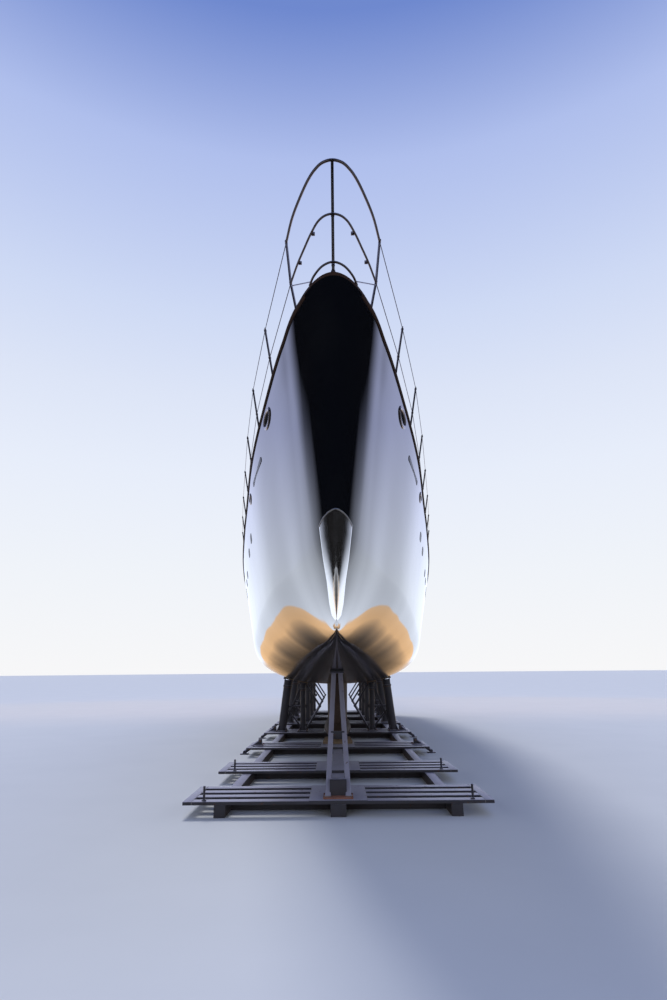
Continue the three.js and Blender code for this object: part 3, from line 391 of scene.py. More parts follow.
hullGloss, laidTeak, varnish = makeHullGloss(), makeLaidTeak(), makeVarnish()
steel = makeSteel("polishedSteel", (0.6, 0.61, 0.63), (0.77, 0.775, 0.78), 0.07)
# The rail steel is a much darker copy of the polished steel: painted shade on the rails
railSteel = makeSteel("railSteel", (0.17, 0.15, 0.165), (0.25, 0.225, 0.24), 0.16)
whitePaint, tintedGlass, blackGlass = makeWhitePaint(), makeTintedGlass(), makeBlackGlass()
bottomPaint, bronze, cover = makeBottomPaint(), makeBronze(), makeCover()
# Lit and shaded copies of one cradle paint: the dark copy for sides is painted shade, the light copy for upward faces
# is painted top light with some dust
cradlePaint = makeCradlePaint("cradlePaint", (0.04, 0.038, 0.044), (0.086, 0.081, 0.094), (0.07, 0.058, 0.05))
cradleDust = makeCradlePaint("cradleDust", (0.24, 0.228, 0.28), (0.36, 0.345, 0.42), (0.26, 0.22, 0.2))
primer, timber, rubber, carbon = makePrimer(), makeTimber(), makeRubber(), makeCarbon()
oiledTeak, smokedPane = makeOiledTeak(), makeSmokedPane()
weldSteel = makeBareSteel("weldSteel", (0.14, 0.135, 0.135), (0.24, 0.225, 0.215), 0.42)
rustSteel = makeBareSteel("rustSteel", (0.12, 0.055, 0.032), (0.23, 0.13, 0.08), 0.6)
print("finishes ready")


# Gathers the faces of one piece, each with its finish
class Form:
    def __init__(self):
        self.mesh = bmesh.new()
        self.finishes = []

    def number(self, finish):
        if finish not in self.finishes:
            self.finishes.append(finish)
        return self.finishes.index(finish)

    def face(self, corners, index):
        if len(set(corners)) < 3:
            return None
        made = self.mesh.faces.new(corners)
        made.material_index = index
        return made

    # Skin through rings of equal length
    def skin(self, rings, finish, closeStart=True, closeEnd=True, looped=True):
        index = self.number(finish)
        grid = [[self.mesh.verts.new(point) for point in ring] for ring in rings]
        count = len(rings[0])
        for first, second in zip(grid, grid[1:]):
            for j in range(count if looped else count - 1):
                k = (j + 1) % count
                self.face([first[j], first[k], second[k], second[j]], index)
        if closeStart:
            self.face(grid[0][::-1], index)
        if closeEnd:
            self.face(grid[-1], index)
        return grid

    # Bar of a section that is swept along points, with its corners kept square to the path
    def sweep(self, points, section, finish, closed=False, upright=None):
        points = [Vector(point) for point in points]
        rings, side = [], None
        for k, point in enumerate(points):
            before = points[k - 1] if k or closed else point
            after = points[(k + 1) % len(points)] if closed or k + 1 < len(points) else point
            ahead = (after - before).normalized()
            if upright is not None:
                side = ahead.cross(Vector(upright)).normalized()
            elif side is None:
                side = ahead.orthogonal().normalized()
            else:
                side = (side - ahead * side.dot(ahead)).normalized()
            up = side.cross(ahead)
            rings.append([point + side * u + up * v for u, v in section])
        if closed:
            rings.append(rings[0])
        return self.skin(rings, finish, not closed, not closed)

    def tube(self, points, radius, finish, sides=12, closed=False):
        return self.sweep(points, circle(radius, sides), finish, closed)

    def rod(self, start, end, radius, finish, sides=16, endRadius=None, soft=0.0):
        start, end = Vector(start), Vector(end)
        endRadius = radius if endRadius is None else endRadius
        ahead = (end - start).normalized()
        side = ahead.orthogonal().normalized()
        up = side.cross(ahead)
        steps = [(start, radius - soft), (start + ahead * soft, radius), (end - ahead * soft, endRadius),
                 (end, endRadius - soft)] if soft else [(start, radius), (end, endRadius)]
        rings = [[place + side * u + up * v for u, v in circle(size, sides)] for place, size in steps]
        return self.skin(rings, finish)

    # Block with softened edges
    def slab(self, low, high, finish, soft=0.0, turn=None):
        index = self.number(finish)
        corners = [Vector((x, y, z)) for z in (low[2], high[2]) for y in (low[1], high[1]) for x in (low[0], high[0])]
        if turn is not None:
            corners = [turn @ corner for corner in corners]
        points = [self.mesh.verts.new(corner) for corner in corners]
        faces = [self.face([points[k] for k in order], index) for order in (
            (0, 2, 3, 1), (4, 5, 7, 6), (0, 1, 5, 4), (2, 6, 7, 3), (0, 4, 6, 2), (1, 3, 7, 5))]
        if soft:
            edges = list({edge for face in faces for edge in face.edges})
            bmesh.ops.bevel(self.mesh, geom=edges, offset=soft, segments=2, profile=0.6, affect="EDGES",
                            material=-1)

    # Turned profile of radius and height
    def lathe(self, profile, finish, sides=24, place=None):
        place = place or Matrix()
        rings = [[place @ Vector((u, v, height)) for u, v in circle(max(radius, 1e-4), sides)]
                 for radius, height in profile]
        return self.skin(rings, finish)

    # Upright wall on a flat outline
    def prism(self, outline, low, high, finish, soft=0.0, place=None):
        place = place or Matrix()
        start = [place @ Vector((x, y, low)) for x, y in outline]
        end = [place @ Vector((x, y, high)) for x, y in outline]
        grid = self.skin([start, end], finish)
        if soft:
            rim = [self.mesh.edges.get((ring[j - 1], ring[j])) for ring in grid for j in range(len(ring))]
            bmesh.ops.bevel(self.mesh, geom=[edge for edge in rim if edge], offset=soft, segments=2, profile=0.6,
                            affect="EDGES", material=-1)

    def plain(self, name, angle=35):
        bmesh.ops.remove_doubles(self.mesh, verts=self.mesh.verts, dist=2e-5)
        bmesh.ops.recalc_face_normals(self.mesh, faces=self.mesh.faces)
        data = bpy.data.meshes.new(name)
        self.mesh.to_mesh(data)
        self.mesh.free()
        for finish in self.finishes:
            data.materials.append(finish.material)
        data.shade_smooth()
        data.set_sharp_from_angle(angle=math.radians(angle))
        made = bpy.data.objects.new(name, data)
        bpy.context.scene.collection.objects.link(made)
        return made

    def make(self, name, body, *nodes, angle=35):
        return settle(self.plain(name, angle), self.finishes[0], body, *nodes)


def settle(made, finish, body, *nodes):
    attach(made, body)
    if nodes:
        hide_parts(*nodes)
    return made


def circle(radius, sides, start=0.0):
    return [(radius * math.cos(start + 2 * math.pi * k / sides), radius * math.sin(start + 2 * math.pi * k / sides))
            for k in range(sides)]


def ellipse(halfX, halfY, sides):
    return [(halfX * u, halfY * v) for u, v in circle(1.0, sides)]


def roundedBox(halfX, halfY, radius, steps=4):
    points = []
    for k, (sideX, sideY) in enumerate(((1, 1), (-1, 1), (-1, -1), (1, -1))):
        for j in range(steps + 1):
            angle = math.pi / 2 * (k + j / steps)
            points.append((sideX * (halfX - radius) + radius * math.cos(angle),
                           sideY * (halfY - radius) + radius * math.sin(angle)))
    return points


# Centripetal spline through points
def smoothPath(points, steps=8):
    points = [Vector(point) for point in points]
    padded = [points[0] * 2 - points[1], *points, points[-1] * 2 - points[-2]]
    path = []
    for k in range(1, len(padded) - 2):
        around = padded[k - 1:k + 3]
        times = [0.0]
        for a, b in zip(around, around[1:]):
            times.append(times[-1] + max((b - a).length, 1e-6) ** 0.5)

        def between(i, j, first, second, t):
            return first * ((times[j] - t) / (times[j] - times[i])) + second * ((t - times[i]) / (times[j] - times[i]))

        for step in range(steps):
            t = times[1] + (times[2] - times[1]) * step / steps
            low = [between(i, i + 1, around[i], around[i + 1], t) for i in range(3)]
            mid = [between(0, 2, low[0], low[1], t), between(1, 3, low[1], low[2], t)]
            path.append(between(1, 2, mid[0], mid[1], t))
    return [*path, points[-1]]


# Geometry Nodes tree with named inputs
class Grower(Graph):
    def __init__(self, name, inputs):
        super().__init__(bpy.data.node_groups.new(name, "GeometryNodeTree"))
        face = self.tree.interface
        face.new_socket("Geometry", in_out="INPUT", socket_type="NodeSocketGeometry")
        for label, kind in inputs.items():
            face.new_socket(label, in_out="INPUT", socket_type="NodeSocket" + kind)
        face.new_socket("Geometry", in_out="OUTPUT", socket_type="NodeSocketGeometry")
        self.entry = self.tree.nodes.new("NodeGroupInput")

    def given(self, label):
        return Term(self, self.entry.outputs[label])

    def join(self, *parts):
        made = self.tree.nodes.new("GeometryNodeJoinGeometry")
        for part in parts:
            self.tree.links.new(part.socket, made.inputs[0])
        return Term(self, made.outputs[0])

    def end(self, geometry, finish="Finish"):
        real = self.node("GeometryNodeRealizeInstances", None, {0: geometry})
        painted = self.node("GeometryNodeSetMaterial", None, {0: real, "Material": self.given(finish)})
        self.tree.links.new(painted.socket, self.tree.nodes.new("NodeGroupOutput").inputs[0])

    # Runs the tree on a mesh of points or edges and keeps the result as a plain mesh
    def grow(self, name, points, edges, finish, aims=None, angle=35, **values):
        data = bpy.data.meshes.new(name + "Path")
        data.from_pydata([Vector(point) for point in points], edges, [])
        if aims:
            aim = data.attributes.new("aim", "FLOAT_VECTOR", "POINT")
            aim.data.foreach_set("vector", [value for one in aims for value in one])
        carrier = bpy.data.objects.new(name + "Path", data)
        bpy.context.scene.collection.objects.link(carrier)
        modifier = carrier.modifiers.new("grow", "NODES")
        modifier.node_group = self.tree
        for item in self.tree.interface.items_tree:
            if item.in_out == "INPUT" and item.name in values:
                modifier[item.identifier] = values[item.name]
            elif item.in_out == "INPUT" and item.name == "Finish":
                modifier[item.identifier] = finish.material
        graph = bpy.context.evaluated_depsgraph_get()
        grown = bpy.data.meshes.new_from_object(carrier.evaluated_get(graph), depsgraph=graph)
        carrier.modifiers.remove(modifier)
        bpy.data.objects.remove(carrier)
        grown.name = name
        grown.shade_smooth()
        grown.set_sharp_from_angle(angle=math.radians(angle))
        made = bpy.data.objects.new(name, grown)
        bpy.context.scene.collection.objects.link(made)
        return made


# Instances stand on the points and look along their aim
def standing(grower, shape):
    aim = grower.node("GeometryNodeInputNamedAttribute", {"data_type": "FLOAT_VECTOR"}, {"Name": "aim"})
    turn = grower.node("FunctionNodeAlignRotationToVector", {"axis": "Z"}, {"Vector": aim})
    return grower.node("GeometryNodeInstanceOnPoints", None, {
        "Points": grower.given("Geometry"), "Instance": shape, "Rotation": turn})


def boltTree():
    made = Grower("bolts", {"Radius": "Float", "Height": "Float", "Finish": "Material"})
    radius, height = made.given("Radius"), made.given("Height")
    washer = made.node("GeometryNodeMeshCylinder", None, {"Vertices": 12, "Radius": radius * 1.35,
                                                          "Depth": height * 0.5})
    head = made.node("GeometryNodeMeshCylinder", None, {"Vertices": 6, "Radius": radius, "Depth": height})
    raised = made.node("GeometryNodeTransform", None, {
        0: head, "Translation": made.node("ShaderNodeCombineXYZ", None, {2: height * 0.7})})
    made.end(standing(made, made.join(washer, raised)))
    return made


def pipeTree():
    made = Grower("pipes", {"Radius": "Float", "Sides": "Int", "Finish": "Material"})
    path = made.node("GeometryNodeMeshToCurve", None, {0: made.given("Geometry")})
    section = made.node("GeometryNodeCurvePrimitiveCircle", None, {"Resolution": made.given("Sides"),
                                                                   "Radius": made.given("Radius")})
    made.end(made.node("GeometryNodeCurveToMesh", None, {"Curve": path, "Profile Curve": section,
                                                         "Fill Caps": True}))
    return made


bolts, pipes = boltTree(), pipeTree()


def growBolts(name, body, places, finish, radius=0.012, height=0.01):
    points = [place for place, aim in places]
    aims = [Vector(aim).normalized() for place, aim in places]
    return settle(bolts.grow(name, points, [], finish, aims, Radius=radius, Height=height), finish, body)


def growPipes(name, body, paths, finish, radius, sides=12, nodes=()):
    points, edges = [], []
    for path in paths:
        first = len(points)
        points.extend(path)
        edges.extend((k, k + 1) for k in range(first, len(points) - 1))
    return settle(pipes.grow(name, points, edges, finish, Radius=radius, Sides=sides), finish, body, *nodes)


# Hull form, the same table as the solid hull
bowY = -17.782
hullForm = {
    "length": 36.0, "noseLength": 0.5, "noseDeckHalf": 0.4, "noseBilgeHalf": 0.15, "stemRake": 0.3,
    "forefootSweep": 0.45, "rakeFade": 6.0, "camber": 0.11, "fullBeamHalf": 3.85, "margin": 0.15,
    "bilgeSteps": 22, "topsideSteps": 8, "deckSteps": 8,
    "rows": [
        (0.0, 0.06, 6.71, 3.1, 0.04, 0.9, 1.5), (0.5, 0.4, 6.69, 3.085, 0.15, 0.9, 1.5),
        (1.25, 0.645, 6.655, 3.06, 0.29, 0.92, 1.5), (2.7, 1.015, 6.59, 3.01, 0.52, 0.98, 1.55),
        (4.9, 1.52, 6.45, 2.91, 0.96, 1.08, 1.6), (7.7, 2.02, 6.3, 2.76, 1.46, 1.15, 1.7),
        (10.2, 2.45, 6.21, 2.6, 1.86, 1.2, 1.85), (14.8, 3.16, 6.11, 2.32, 2.52, 1.22, 2.1),
        (20.0, 3.76, 6.03, 2.15, 2.96, 1.2, 2.2), (25.0, 3.85, 5.97, 2.2, 3.02, 1.15, 2.2),
        (30.0, 3.7, 5.9, 2.52, 2.82, 1.0, 2.2), (36.0, 3.3, 5.8, 3.02, 2.42, 0.8, 2.2),
    ],
}
seatGap, plankThickness = 0.0003, 0.014


def tableValue(column, s):
    rows = hullForm["rows"]
    k = ("s", "deck", "sheer", "keel", "bilge", "rise", "power").index(column)
    last = len(rows) - 1
    i = 0
    while i < last - 1 and rows[i + 1][0] <= s:
        i += 1

    def secant(n):
        return (rows[n + 1][k] - rows[n][k]) / (rows[n + 1][0] - rows[n][0])

    def slope(n):
        return (secant(max(n - 1, 0)) + secant(min(n, last - 1))) / 2

    span = rows[i + 1][0] - rows[i][0]
    t = (s - rows[i][0]) / span
    return (rows[i][k] * (1 + 2 * t) * (1 - t) ** 2 + span * slope(i) * t * (1 - t) ** 2
            + rows[i + 1][k] * t * t * (3 - 2 * t) + span * slope(i + 1) * t * t * (t - 1))


def deckHalf(s):
    nose = hullForm["noseLength"]
    return hullForm["noseDeckHalf"] * math.sqrt(max(s, 0) / nose) if s < nose else tableValue("deck", s)


def bilgeHalf(s):
    nose = hullForm["noseLength"]
    return hullForm["noseBilgeHalf"] * (max(s, 0) / nose) ** 0.8 if s < nose else tableValue("bilge", s)


def stationY(s, level):
    rake = hullForm["stemRake"] * (1 - level) + hullForm["forefootSweep"] * max(0, 1 - level / 0.15) ** 2
    return bowY + s + rake * max(0, 1 - s / hullForm["rakeFade"])


def marginAt(s):
    return max(deckHalf(s) - hullForm["margin"], deckHalf(s) * 0.6)


def deckZ(s, x=0.0):
    margin = marginAt(s)
    inboard = max(0, 1 - (x / margin) ** 2) if margin > 0 else 0
    return tableValue("sheer", s) + hullForm["camber"] * (deckHalf(s) / hullForm["fullBeamHalf"]) * inboard


def halfSection(s, bilgeSteps, topsideSteps, grow=0.0):
    deck, bilge = deckHalf(s), bilgeHalf(s)
    keel, rise, power = (tableValue(word, s) for word in ("keel", "rise", "power"))
    height = tableValue("sheer", s) - keel
    flare = (deck - bilge) / height
    points = []
    for j in range(bilgeSteps + topsideSteps + 1):
        angle = min(j / bilgeSteps, 1) * math.pi / 2
        up = rise * (1 - abs(math.cos(angle)) ** (2 / power))
        if j > bilgeSteps:
            up = rise + (height - rise) * (j - bilgeSteps) / topsideSteps
        half = bilge * math.sin(angle) ** (2 / power)
        points.append(Vector((half + flare * up + grow, stationY(s, up / height), keel + up)))
    return points


# Half-breadth of the skin at a height
def skinHalf(s, z):
    points = halfSection(s, 22, 8)
    for a, b in zip(points, points[1:]):
        if a.z <= z <= b.z:
            return a.x + (b.x - a.x) * (z - a.z) / max(b.z - a.z, 1e-6)
    return points[-1].x


def undersideZ(s, x):
    points = halfSection(s, 7, 3)
    for a, b in zip(points, points[1:]):
        if b.x >= x:
            return a.z + (b.z - a.z) * (x - a.x) / (b.x - a.x)
    return points[-1].z


def mirrored(points):
    return [Vector((-p[0], p[1], p[2])) for p in points]


def stations(s0, s1, step):
    count = max(1, round((s1 - s0) / step))
    return [s0 + (s1 - s0) * k / count for k in range(count + 1)]


noseStations = [0, 0.004, 0.012, 0.025, 0.045, 0.07, 0.1, 0.14, 0.19, 0.25, 0.32, 0.4]
fineStations = noseStations + stations(0.5, 1.9, 0.1) + stations(2.1, 35.9, 0.26) + [36.0]

house = {"front": 13.8, "shoulder": 17.2, "aft": 22.0, "half": 2.35, "frontSteps": 24,
         "levels": [(5.85, 0.0), (6.48, 0.07), (6.96, 0.3)], "wall": 0.09, "glass": 0.014}
wells = {"guest": (2.15, 22.0, 25.9, 5.15), "passage": (0.45, 25.8, 26.7, 5.15), "helm": (2.6, 26.6, 30.8, 5.45)}
saloon = {"floor": 4.75, "inset": 0.32, "aft": 21.9}
door = {"half": 0.414, "jamb": 0.385, "sill": 5.156, "head": 6.824, "depth": 0.05, "thickness": 0.045, "lap": 0.04}
garage = {"half": 1.9, "s0": 33.0, "sill": 3.95, "head": 5.4, "thickness": 0.08, "lap": 0.05, "play": 0.006}
lids = {"anchor": (2.1, 2.9, 0.32), "fore": (6.3, 7.05, 0.375), "mid": (10.0, 10.75, 0.375)}
lidPlay, lidThickness = 0.006, 0.06
fairleads = {"fwd": (2.89, 0.254, 0.62, 0.27), "aft": (6.45, 0.275, 0.46, 0.215)}
fairleadRim, fairleadProud, fairleadDepth = 0.06, 0.014, 0.13


def housePlan(inset, aftInset=0.0, steps=None):
    steps = steps or house["frontSteps"]
    half = house["half"] - inset
    port = [(half * math.sin(math.pi / 2 * j / steps),
             bowY + house["shoulder"] - (house["shoulder"] - house["front"] - inset) * math.cos(math.pi / 2 * j / steps))
            for j in range(steps + 1)]
    port.append((half, bowY + house["aft"] - aftInset))
    return [(-x, y) for x, y in port[:0:-1]] + port


def lidTop(lid):
    return deckZ((lid[0] + lid[1]) / 2) + seatGap + plankThickness


def carve(body, cutters):
    tool = cutters.plain("cutter")
    bpy.context.view_layer.objects.active = body
    modifier = body.modifiers.new("carve", "BOOLEAN")
    modifier.operation = "DIFFERENCE"
    modifier.solver = "EXACT"
    modifier.use_self = True
    modifier.object = tool
    graph = bpy.context.evaluated_depsgraph_get()
    data = bpy.data.meshes.new_from_object(body.evaluated_get(graph), depsgraph=graph)
    body.modifiers.remove(modifier)
    old = body.data
    body.data = data
    bpy.data.meshes.remove(old)
    bpy.data.objects.remove(tool)
    data.shade_smooth()
    data.set_sharp_from_angle(angle=math.radians(35))


def hullSkin():
    hull = Form()
    rings = []
    for s in fineStations:
        port = halfSection(s, hullForm["bilgeSteps"], hullForm["topsideSteps"])
        margin = marginAt(s)
        deck = [Vector((margin * (1 - 2 * j / hullForm["deckSteps"]), bowY + s,
                        deckZ(s, margin * (1 - 2 * j / hullForm["deckSteps"]))))
                for j in range(hullForm["deckSteps"] + 1)]
        rings.append(mirrored(port[1:])[::-1] + port + deck)
    hull.skin(rings, hullGloss, False, True)
    hull.number(whitePaint)
    body = hull.plain("hullSkin")
    cutters = Form()
    for half, s0, s1, floor in wells.values():
        cutters.slab((-half, bowY + s0, floor), (half, bowY + s1, 8), whitePaint)
    cutters.prism(housePlan(saloon["inset"], house["aft"] - saloon["aft"]), saloon["floor"], 8, whitePaint)
    for lid in lids.values():
        top = lidTop(lid)
        cutters.slab((-lid[2] - lidPlay, bowY + lid[0] - lidPlay, top - lidThickness - seatGap),
                     (lid[2] + lidPlay, bowY + lid[1] + lidPlay, 8), whitePaint)
    aft = bowY + house["aft"]
    cutters.slab((-door["half"], aft - door["depth"], door["sill"] - 0.006), (door["half"], aft + 0.01, door["head"]),
                 whitePaint)
    cutters.slab((-door["jamb"], aft - 0.4, door["sill"] + door["lap"]), (door["jamb"], aft + 0.01, door["head"]),
                 whitePaint)
    stern, play = bowY + hullForm["length"], garage["play"]
    cutters.slab((-garage["half"] - play, stern - garage["thickness"] - seatGap, garage["sill"] - play),
                 (garage["half"] + play, stern + 0.01, garage["head"] + play), whitePaint)
    lap = garage["lap"]
    cutters.slab((-garage["half"] + lap, bowY + garage["s0"], garage["sill"] + lap),
                 (garage["half"] - lap, stern + 0.01, garage["head"] - lap), whitePaint)
    for s, drop, length, height in fairleads.values():
        z = tableValue("sheer", s) - drop
        for side in (1, -1):
            x = side * (skinHalf(s, z) - fairleadDepth)
            outline = ellipse(length / 2 - fairleadRim, height / 2 - fairleadRim, 40)
            place = Matrix.Translation((x, bowY + s, z)) @ Matrix(((0, 0, side, 0), (1, 0, 0, 0), (0, 1, 0, 0),
                                                                   (0, 0, 0, 1)))
            cutters.prism(outline, 0.0, 0.6, hullGloss, place=place)
    carve(body, cutters)
    return settle(body, hullGloss, "yacht", "hull")


hullSkin()
print("hull ready")


# Teak deck with a varnished margin board, and the toe rail
deckTrim = {"marginBoard": 0.11, "railWidth": 0.06, "railHeight": 0.045, "railCrown": 0.008,
            "noseInset": 0.55, "footprint": 0.04}


def deckPlanks():
    deck = Form()
    rings = []
    for s in [s for s in fineStations if s >= hullForm["noseLength"]]:
        across = [marginAt(s) * (1 - 2 * j / 10) for j in range(11)]
        bottom = [Vector((x, bowY + s, deckZ(s, x) + seatGap)) for x in across]
        top = [Vector((x, bowY + s, deckZ(s, x) + seatGap + plankThickness)) for x in across]
        rings.append(bottom + top[::-1])
    deck.skin(rings, laidTeak)
    body = deck.plain("deckPlanks")
    cutters = Form()
    for half, s0, s1, floor in wells.values():
        cutters.slab((-half, bowY + s0, floor), (half, bowY + s1, 8), laidTeak)
    foot = -deckTrim["footprint"]
    cutters.prism(housePlan(foot, foot), 5.0, 8, laidTeak)
    for lid in lids.values():
        cutters.slab((-lid[2] - lidPlay, bowY + lid[0] - lidPlay, 5), (lid[2] + lidPlay, bowY + lid[1] + lidPlay, 8),
                     laidTeak)
    cutters.slab((-mast["half"] - 0.005, bowY + mast["s"] - mast["reach"] - 0.005, 5),
                 (mast["half"] + 0.005, bowY + mast["s"] + mast["reach"] + 0.005, 8), laidTeak)
    carve(body, cutters)
    settle(body, laidTeak, "yacht", "deck_planking")


def marginBoards():
    boards = Form()
    lift = seatGap + plankThickness
    for side in (1, -1):
        path = [s for s in fineStations if s >= 0.7]
        rings = []
        for s in path:
            outer, inner = marginAt(s) - 0.002, marginAt(s) - deckTrim["marginBoard"]
            rings.append([Vector((side * x, bowY + s, deckZ(s, x) + lift + up)) for x, up in (
                (outer, 0.0), (outer, 0.003), (inner, 0.003), (inner, 0.0))])
        boards.skin(rings, varnish)
    boards.make("marginBoards", "yacht")


def toeRail():
    rail = Form()
    half = []
    for s in [0.0015] + fineStations[1:]:
        outer, z = deckHalf(s), tableValue("sheer", s) + seatGap
        inner = max(outer - deckTrim["railWidth"], outer * deckTrim["noseInset"])
        back = deckTrim["railWidth"] if s < hullForm["noseLength"] else 0
        top, crown = deckTrim["railHeight"], deckTrim["railCrown"]
        middle = (outer + inner) / 2
        half.append([Vector(p) for p in (
            (outer, bowY + s, z), (outer, bowY + s, z + top - crown), (outer - crown, bowY + s, z + top),
            (middle, bowY + s + back / 2, z + top + 0.002), (inner + crown, bowY + s + back, z + top),
            (inner, bowY + s + back, z + top - crown), (inner, bowY + s + back, z))])
    rail.skin(half[::-1] + [mirrored(ring) for ring in half], oiledTeak)
    rail.make("toeRail", "yacht", "toe_rail", angle=50)


# Dark half-round moulding along the sheer, just under the toe rail
def sheerStrake():
    form = Form()
    for side in (1, -1):
        rings = []
        for s in [s for s in fineStations if s >= strake["s0"]]:
            z = tableValue("sheer", s)
            rings.append([Vector((side * (skinHalf(s, z + up) + out), bowY + s, z + up)) for up, out in strake["section"]])
        form.skin(rings, oiledTeak)
    form.make("sheerStrake", "yacht", angle=50)


mast = {"s": 12.6, "reach": 0.45, "half": 0.26, "height": 0.06, "rim": 0.06}
deckPlanks()
marginBoards()
strake = {"s0": 0.32, "section": [(-0.002, -0.004), (-0.002, 0.012), (-0.012, 0.018), (-0.036, 0.018), (-0.048, 0.01),
                                 (-0.05, -0.004)]}
toeRail()
sheerStrake()
print("deck ready")


# Polished plate wrapped round the stem
stem = {"top": 4.182, "shoulder": 4.085, "round": 0.201, "proud": 0.014, "rows": 72, "columns": 24, "bead": 0.006,
        "sides": [(3.15, 0.012), (3.21, 0.05), (3.32, 0.074), (3.52, 0.096), (3.73, 0.13), (4.085, 0.172)]}


def stemWidth(z):
    points = stem["sides"]
    if z > stem["shoulder"]:
        return math.sqrt(max(stem["round"] ** 2 - (z - stem["top"] + stem["round"]) ** 2, 0.01 ** 2))
    for (z0, x0), (z1, x1) in zip(points, points[1:]):
        if z <= z1:
            break
    return x0 + (x1 - x0) * (z - z0) / (z1 - z0)


# Where the skin has a half-breadth, at a height near the stem
def stemY(x, z):
    low, high = 0.0, 3.0
    for _ in range(26):
        s = (low + high) / 2
        points = halfSection(s, 22, 8)
        reach = 0.0
        for a, b in zip(points, points[1:]):
            if a.z <= z <= b.z:
                share = (z - a.z) / max(b.z - a.z, 1e-6)
                reach, y = a.x + (b.x - a.x) * share, a.y + (b.y - a.y) * share
                break
        else:
            y = points[0].y
        if reach < x:
            low = s
        else:
            high = s
    return y


def stemPlate():
    plate = Form()
    rings = []
    for j in range(stem["rows"] + 1):
        tip = stem["sides"][0][0]
        z = tip + (stem["top"] - tip) * j / stem["rows"]
        width = stemWidth(z)
        across = [math.sin(math.pi / 2 * k / stem["columns"]) * width for k in range(stem["columns"] + 1)]
        half = [(x, stemY(x, z)) for x in across]
        front = [Vector((x, y - stem["proud"] + (0.006 if x > width * 0.985 else 0), z)) for x, y in half]
        back = [Vector((x, y - 0.001, z)) for x, y in half]
        rings.append(mirrored(front[:0:-1]) + front + back[::-1] + mirrored(back[1:]))
    plate.skin(rings, steel)
    heights = [stem["shoulder"] + (stem["top"] - stem["shoulder"]) * math.sin(math.pi / 2 * k / 12) for k in range(13)]
    head = [Vector((stemWidth(z), stemY(stemWidth(z), z) - stem["proud"], z)) for z in heights]
    plate.tube(head + mirrored(head)[::-1], stem["bead"], steel, 10)
    plate.make("stemPlate", "yacht", "stem_plate", angle=50)


stemPlate()


# Rims of the side fairleads follow the skin; a dark rubber cup closes each opening as painted shade
def fairlead(word, s, drop, length, height, side):
    rim = Form()
    z0 = tableValue("sheer", s) - drop
    rings, throatShade = [], []
    for k in range(48):
        angle = 2 * math.pi * k / 48
        section = []
        for along, proud in ((0.0, 0.0), (0.0, 0.008), (0.012, fairleadProud), (0.03, fairleadProud + 0.004),
                             (0.048, fairleadProud), (fairleadRim, 0.006), (fairleadRim + 0.002, -0.02)):
            reach, tall = length / 2 - along, height / 2 - along
            spot, z = s + reach * math.cos(angle), z0 + tall * math.sin(angle)
            section.append(Vector((side * (skinHalf(spot, z) + proud + 0.0005), bowY + spot, z)))
        rings.append(section)
        # dark cup inside the opening: painted shade of the recess
        reach, tall = length / 2 - fairleadRim - 0.003, height / 2 - fairleadRim - 0.003
        inner = [(size, skinHalf(s, z0) + sink) for size, sink in ((1.0, 0.0), (1.0, -0.05), (0.85, -0.07), (0.02, -0.075))]
        throatShade.append([Vector((side * (x + (skinHalf(s + reach * size * math.cos(angle), z0 + tall * size * math.sin(angle))
                       - skinHalf(s, z0))), bowY + s + reach * size * math.cos(angle), z0 + tall * size * math.sin(angle)))
                       for size, x in inner])
    rim.skin([*rings, rings[0]], railSteel, False, False)
    rim.skin([*throatShade, throatShade[0]], rubber, False, False, False)
    rim.make(f"fairlead_{word}", "yacht", f"fairlead_{word}", angle=60)


for word, (s, drop, length, height) in fairleads.items():
    fairlead(word + "_port", s, drop, length, height, 1)
    fairlead(word + "_stbd", s, drop, length, height, -1)


# Flush dark windows and ports in the topsides
ports = {"longWindows": [(4.63, 0.415, 1.45, 0.08)], "ovals": [(7.8, 0.75, 0.42, 0.17), (9.1, 0.78, 0.42, 0.17),
         (11.6, 0.86, 0.42, 0.17), (12.9, 0.88, 0.42, 0.17)],
         "saloonWindows": [(16.6, 0.78, 2.3, 0.3), (19.6, 0.76, 2.3, 0.3), (22.6, 0.74, 2.3, 0.3)]}


def hullWindows():
    panes, frames = Form(), Form()
    for s, drop, length, height in ports["longWindows"] + ports["ovals"] + ports["saloonWindows"]:
        z0 = tableValue("sheer", s) - drop
        outline = roundedBox(length / 2, height / 2, height / 2 - 0.004, 6)
        for side in (1, -1):
            for form, finish, rings in (
                    (panes, smokedPane, ((0.0, 0.0), (0.0, 0.003), (0.35, 0.0035), (0.7, 0.0035))),
                    (frames, rubber, ((-0.014, 0.0), (-0.014, 0.004), (0.0, 0.005), (0.0, 0.002)))):
                sections = []
                for u, v in outline:
                    section = []
                    for inset, proud in rings:
                        if form is panes:
                            place = (u * (1 - inset), v * (1 - inset))
                        else:
                            stretch = Vector((u, v)).normalized() * -inset
                            place = (u + stretch.x, v + stretch.y)
                        x = skinHalf(s + place[0], z0 + place[1])
                        section.append(Vector((side * (x + proud), bowY + s + place[0], z0 + place[1])))
                    if form is panes:
                        x = skinHalf(s, z0)
                        section.append(Vector((side * (x + 0.0035), bowY + s + u * 0.02, z0)))
                    sections.append(section)
                form.skin([*sections, sections[0]], finish, False, False, form is frames)
    panes.make("hullWindows", "yacht")
    frames.make("hullWindowFrames", "yacht")


hullWindows()
print("hull trim ready")


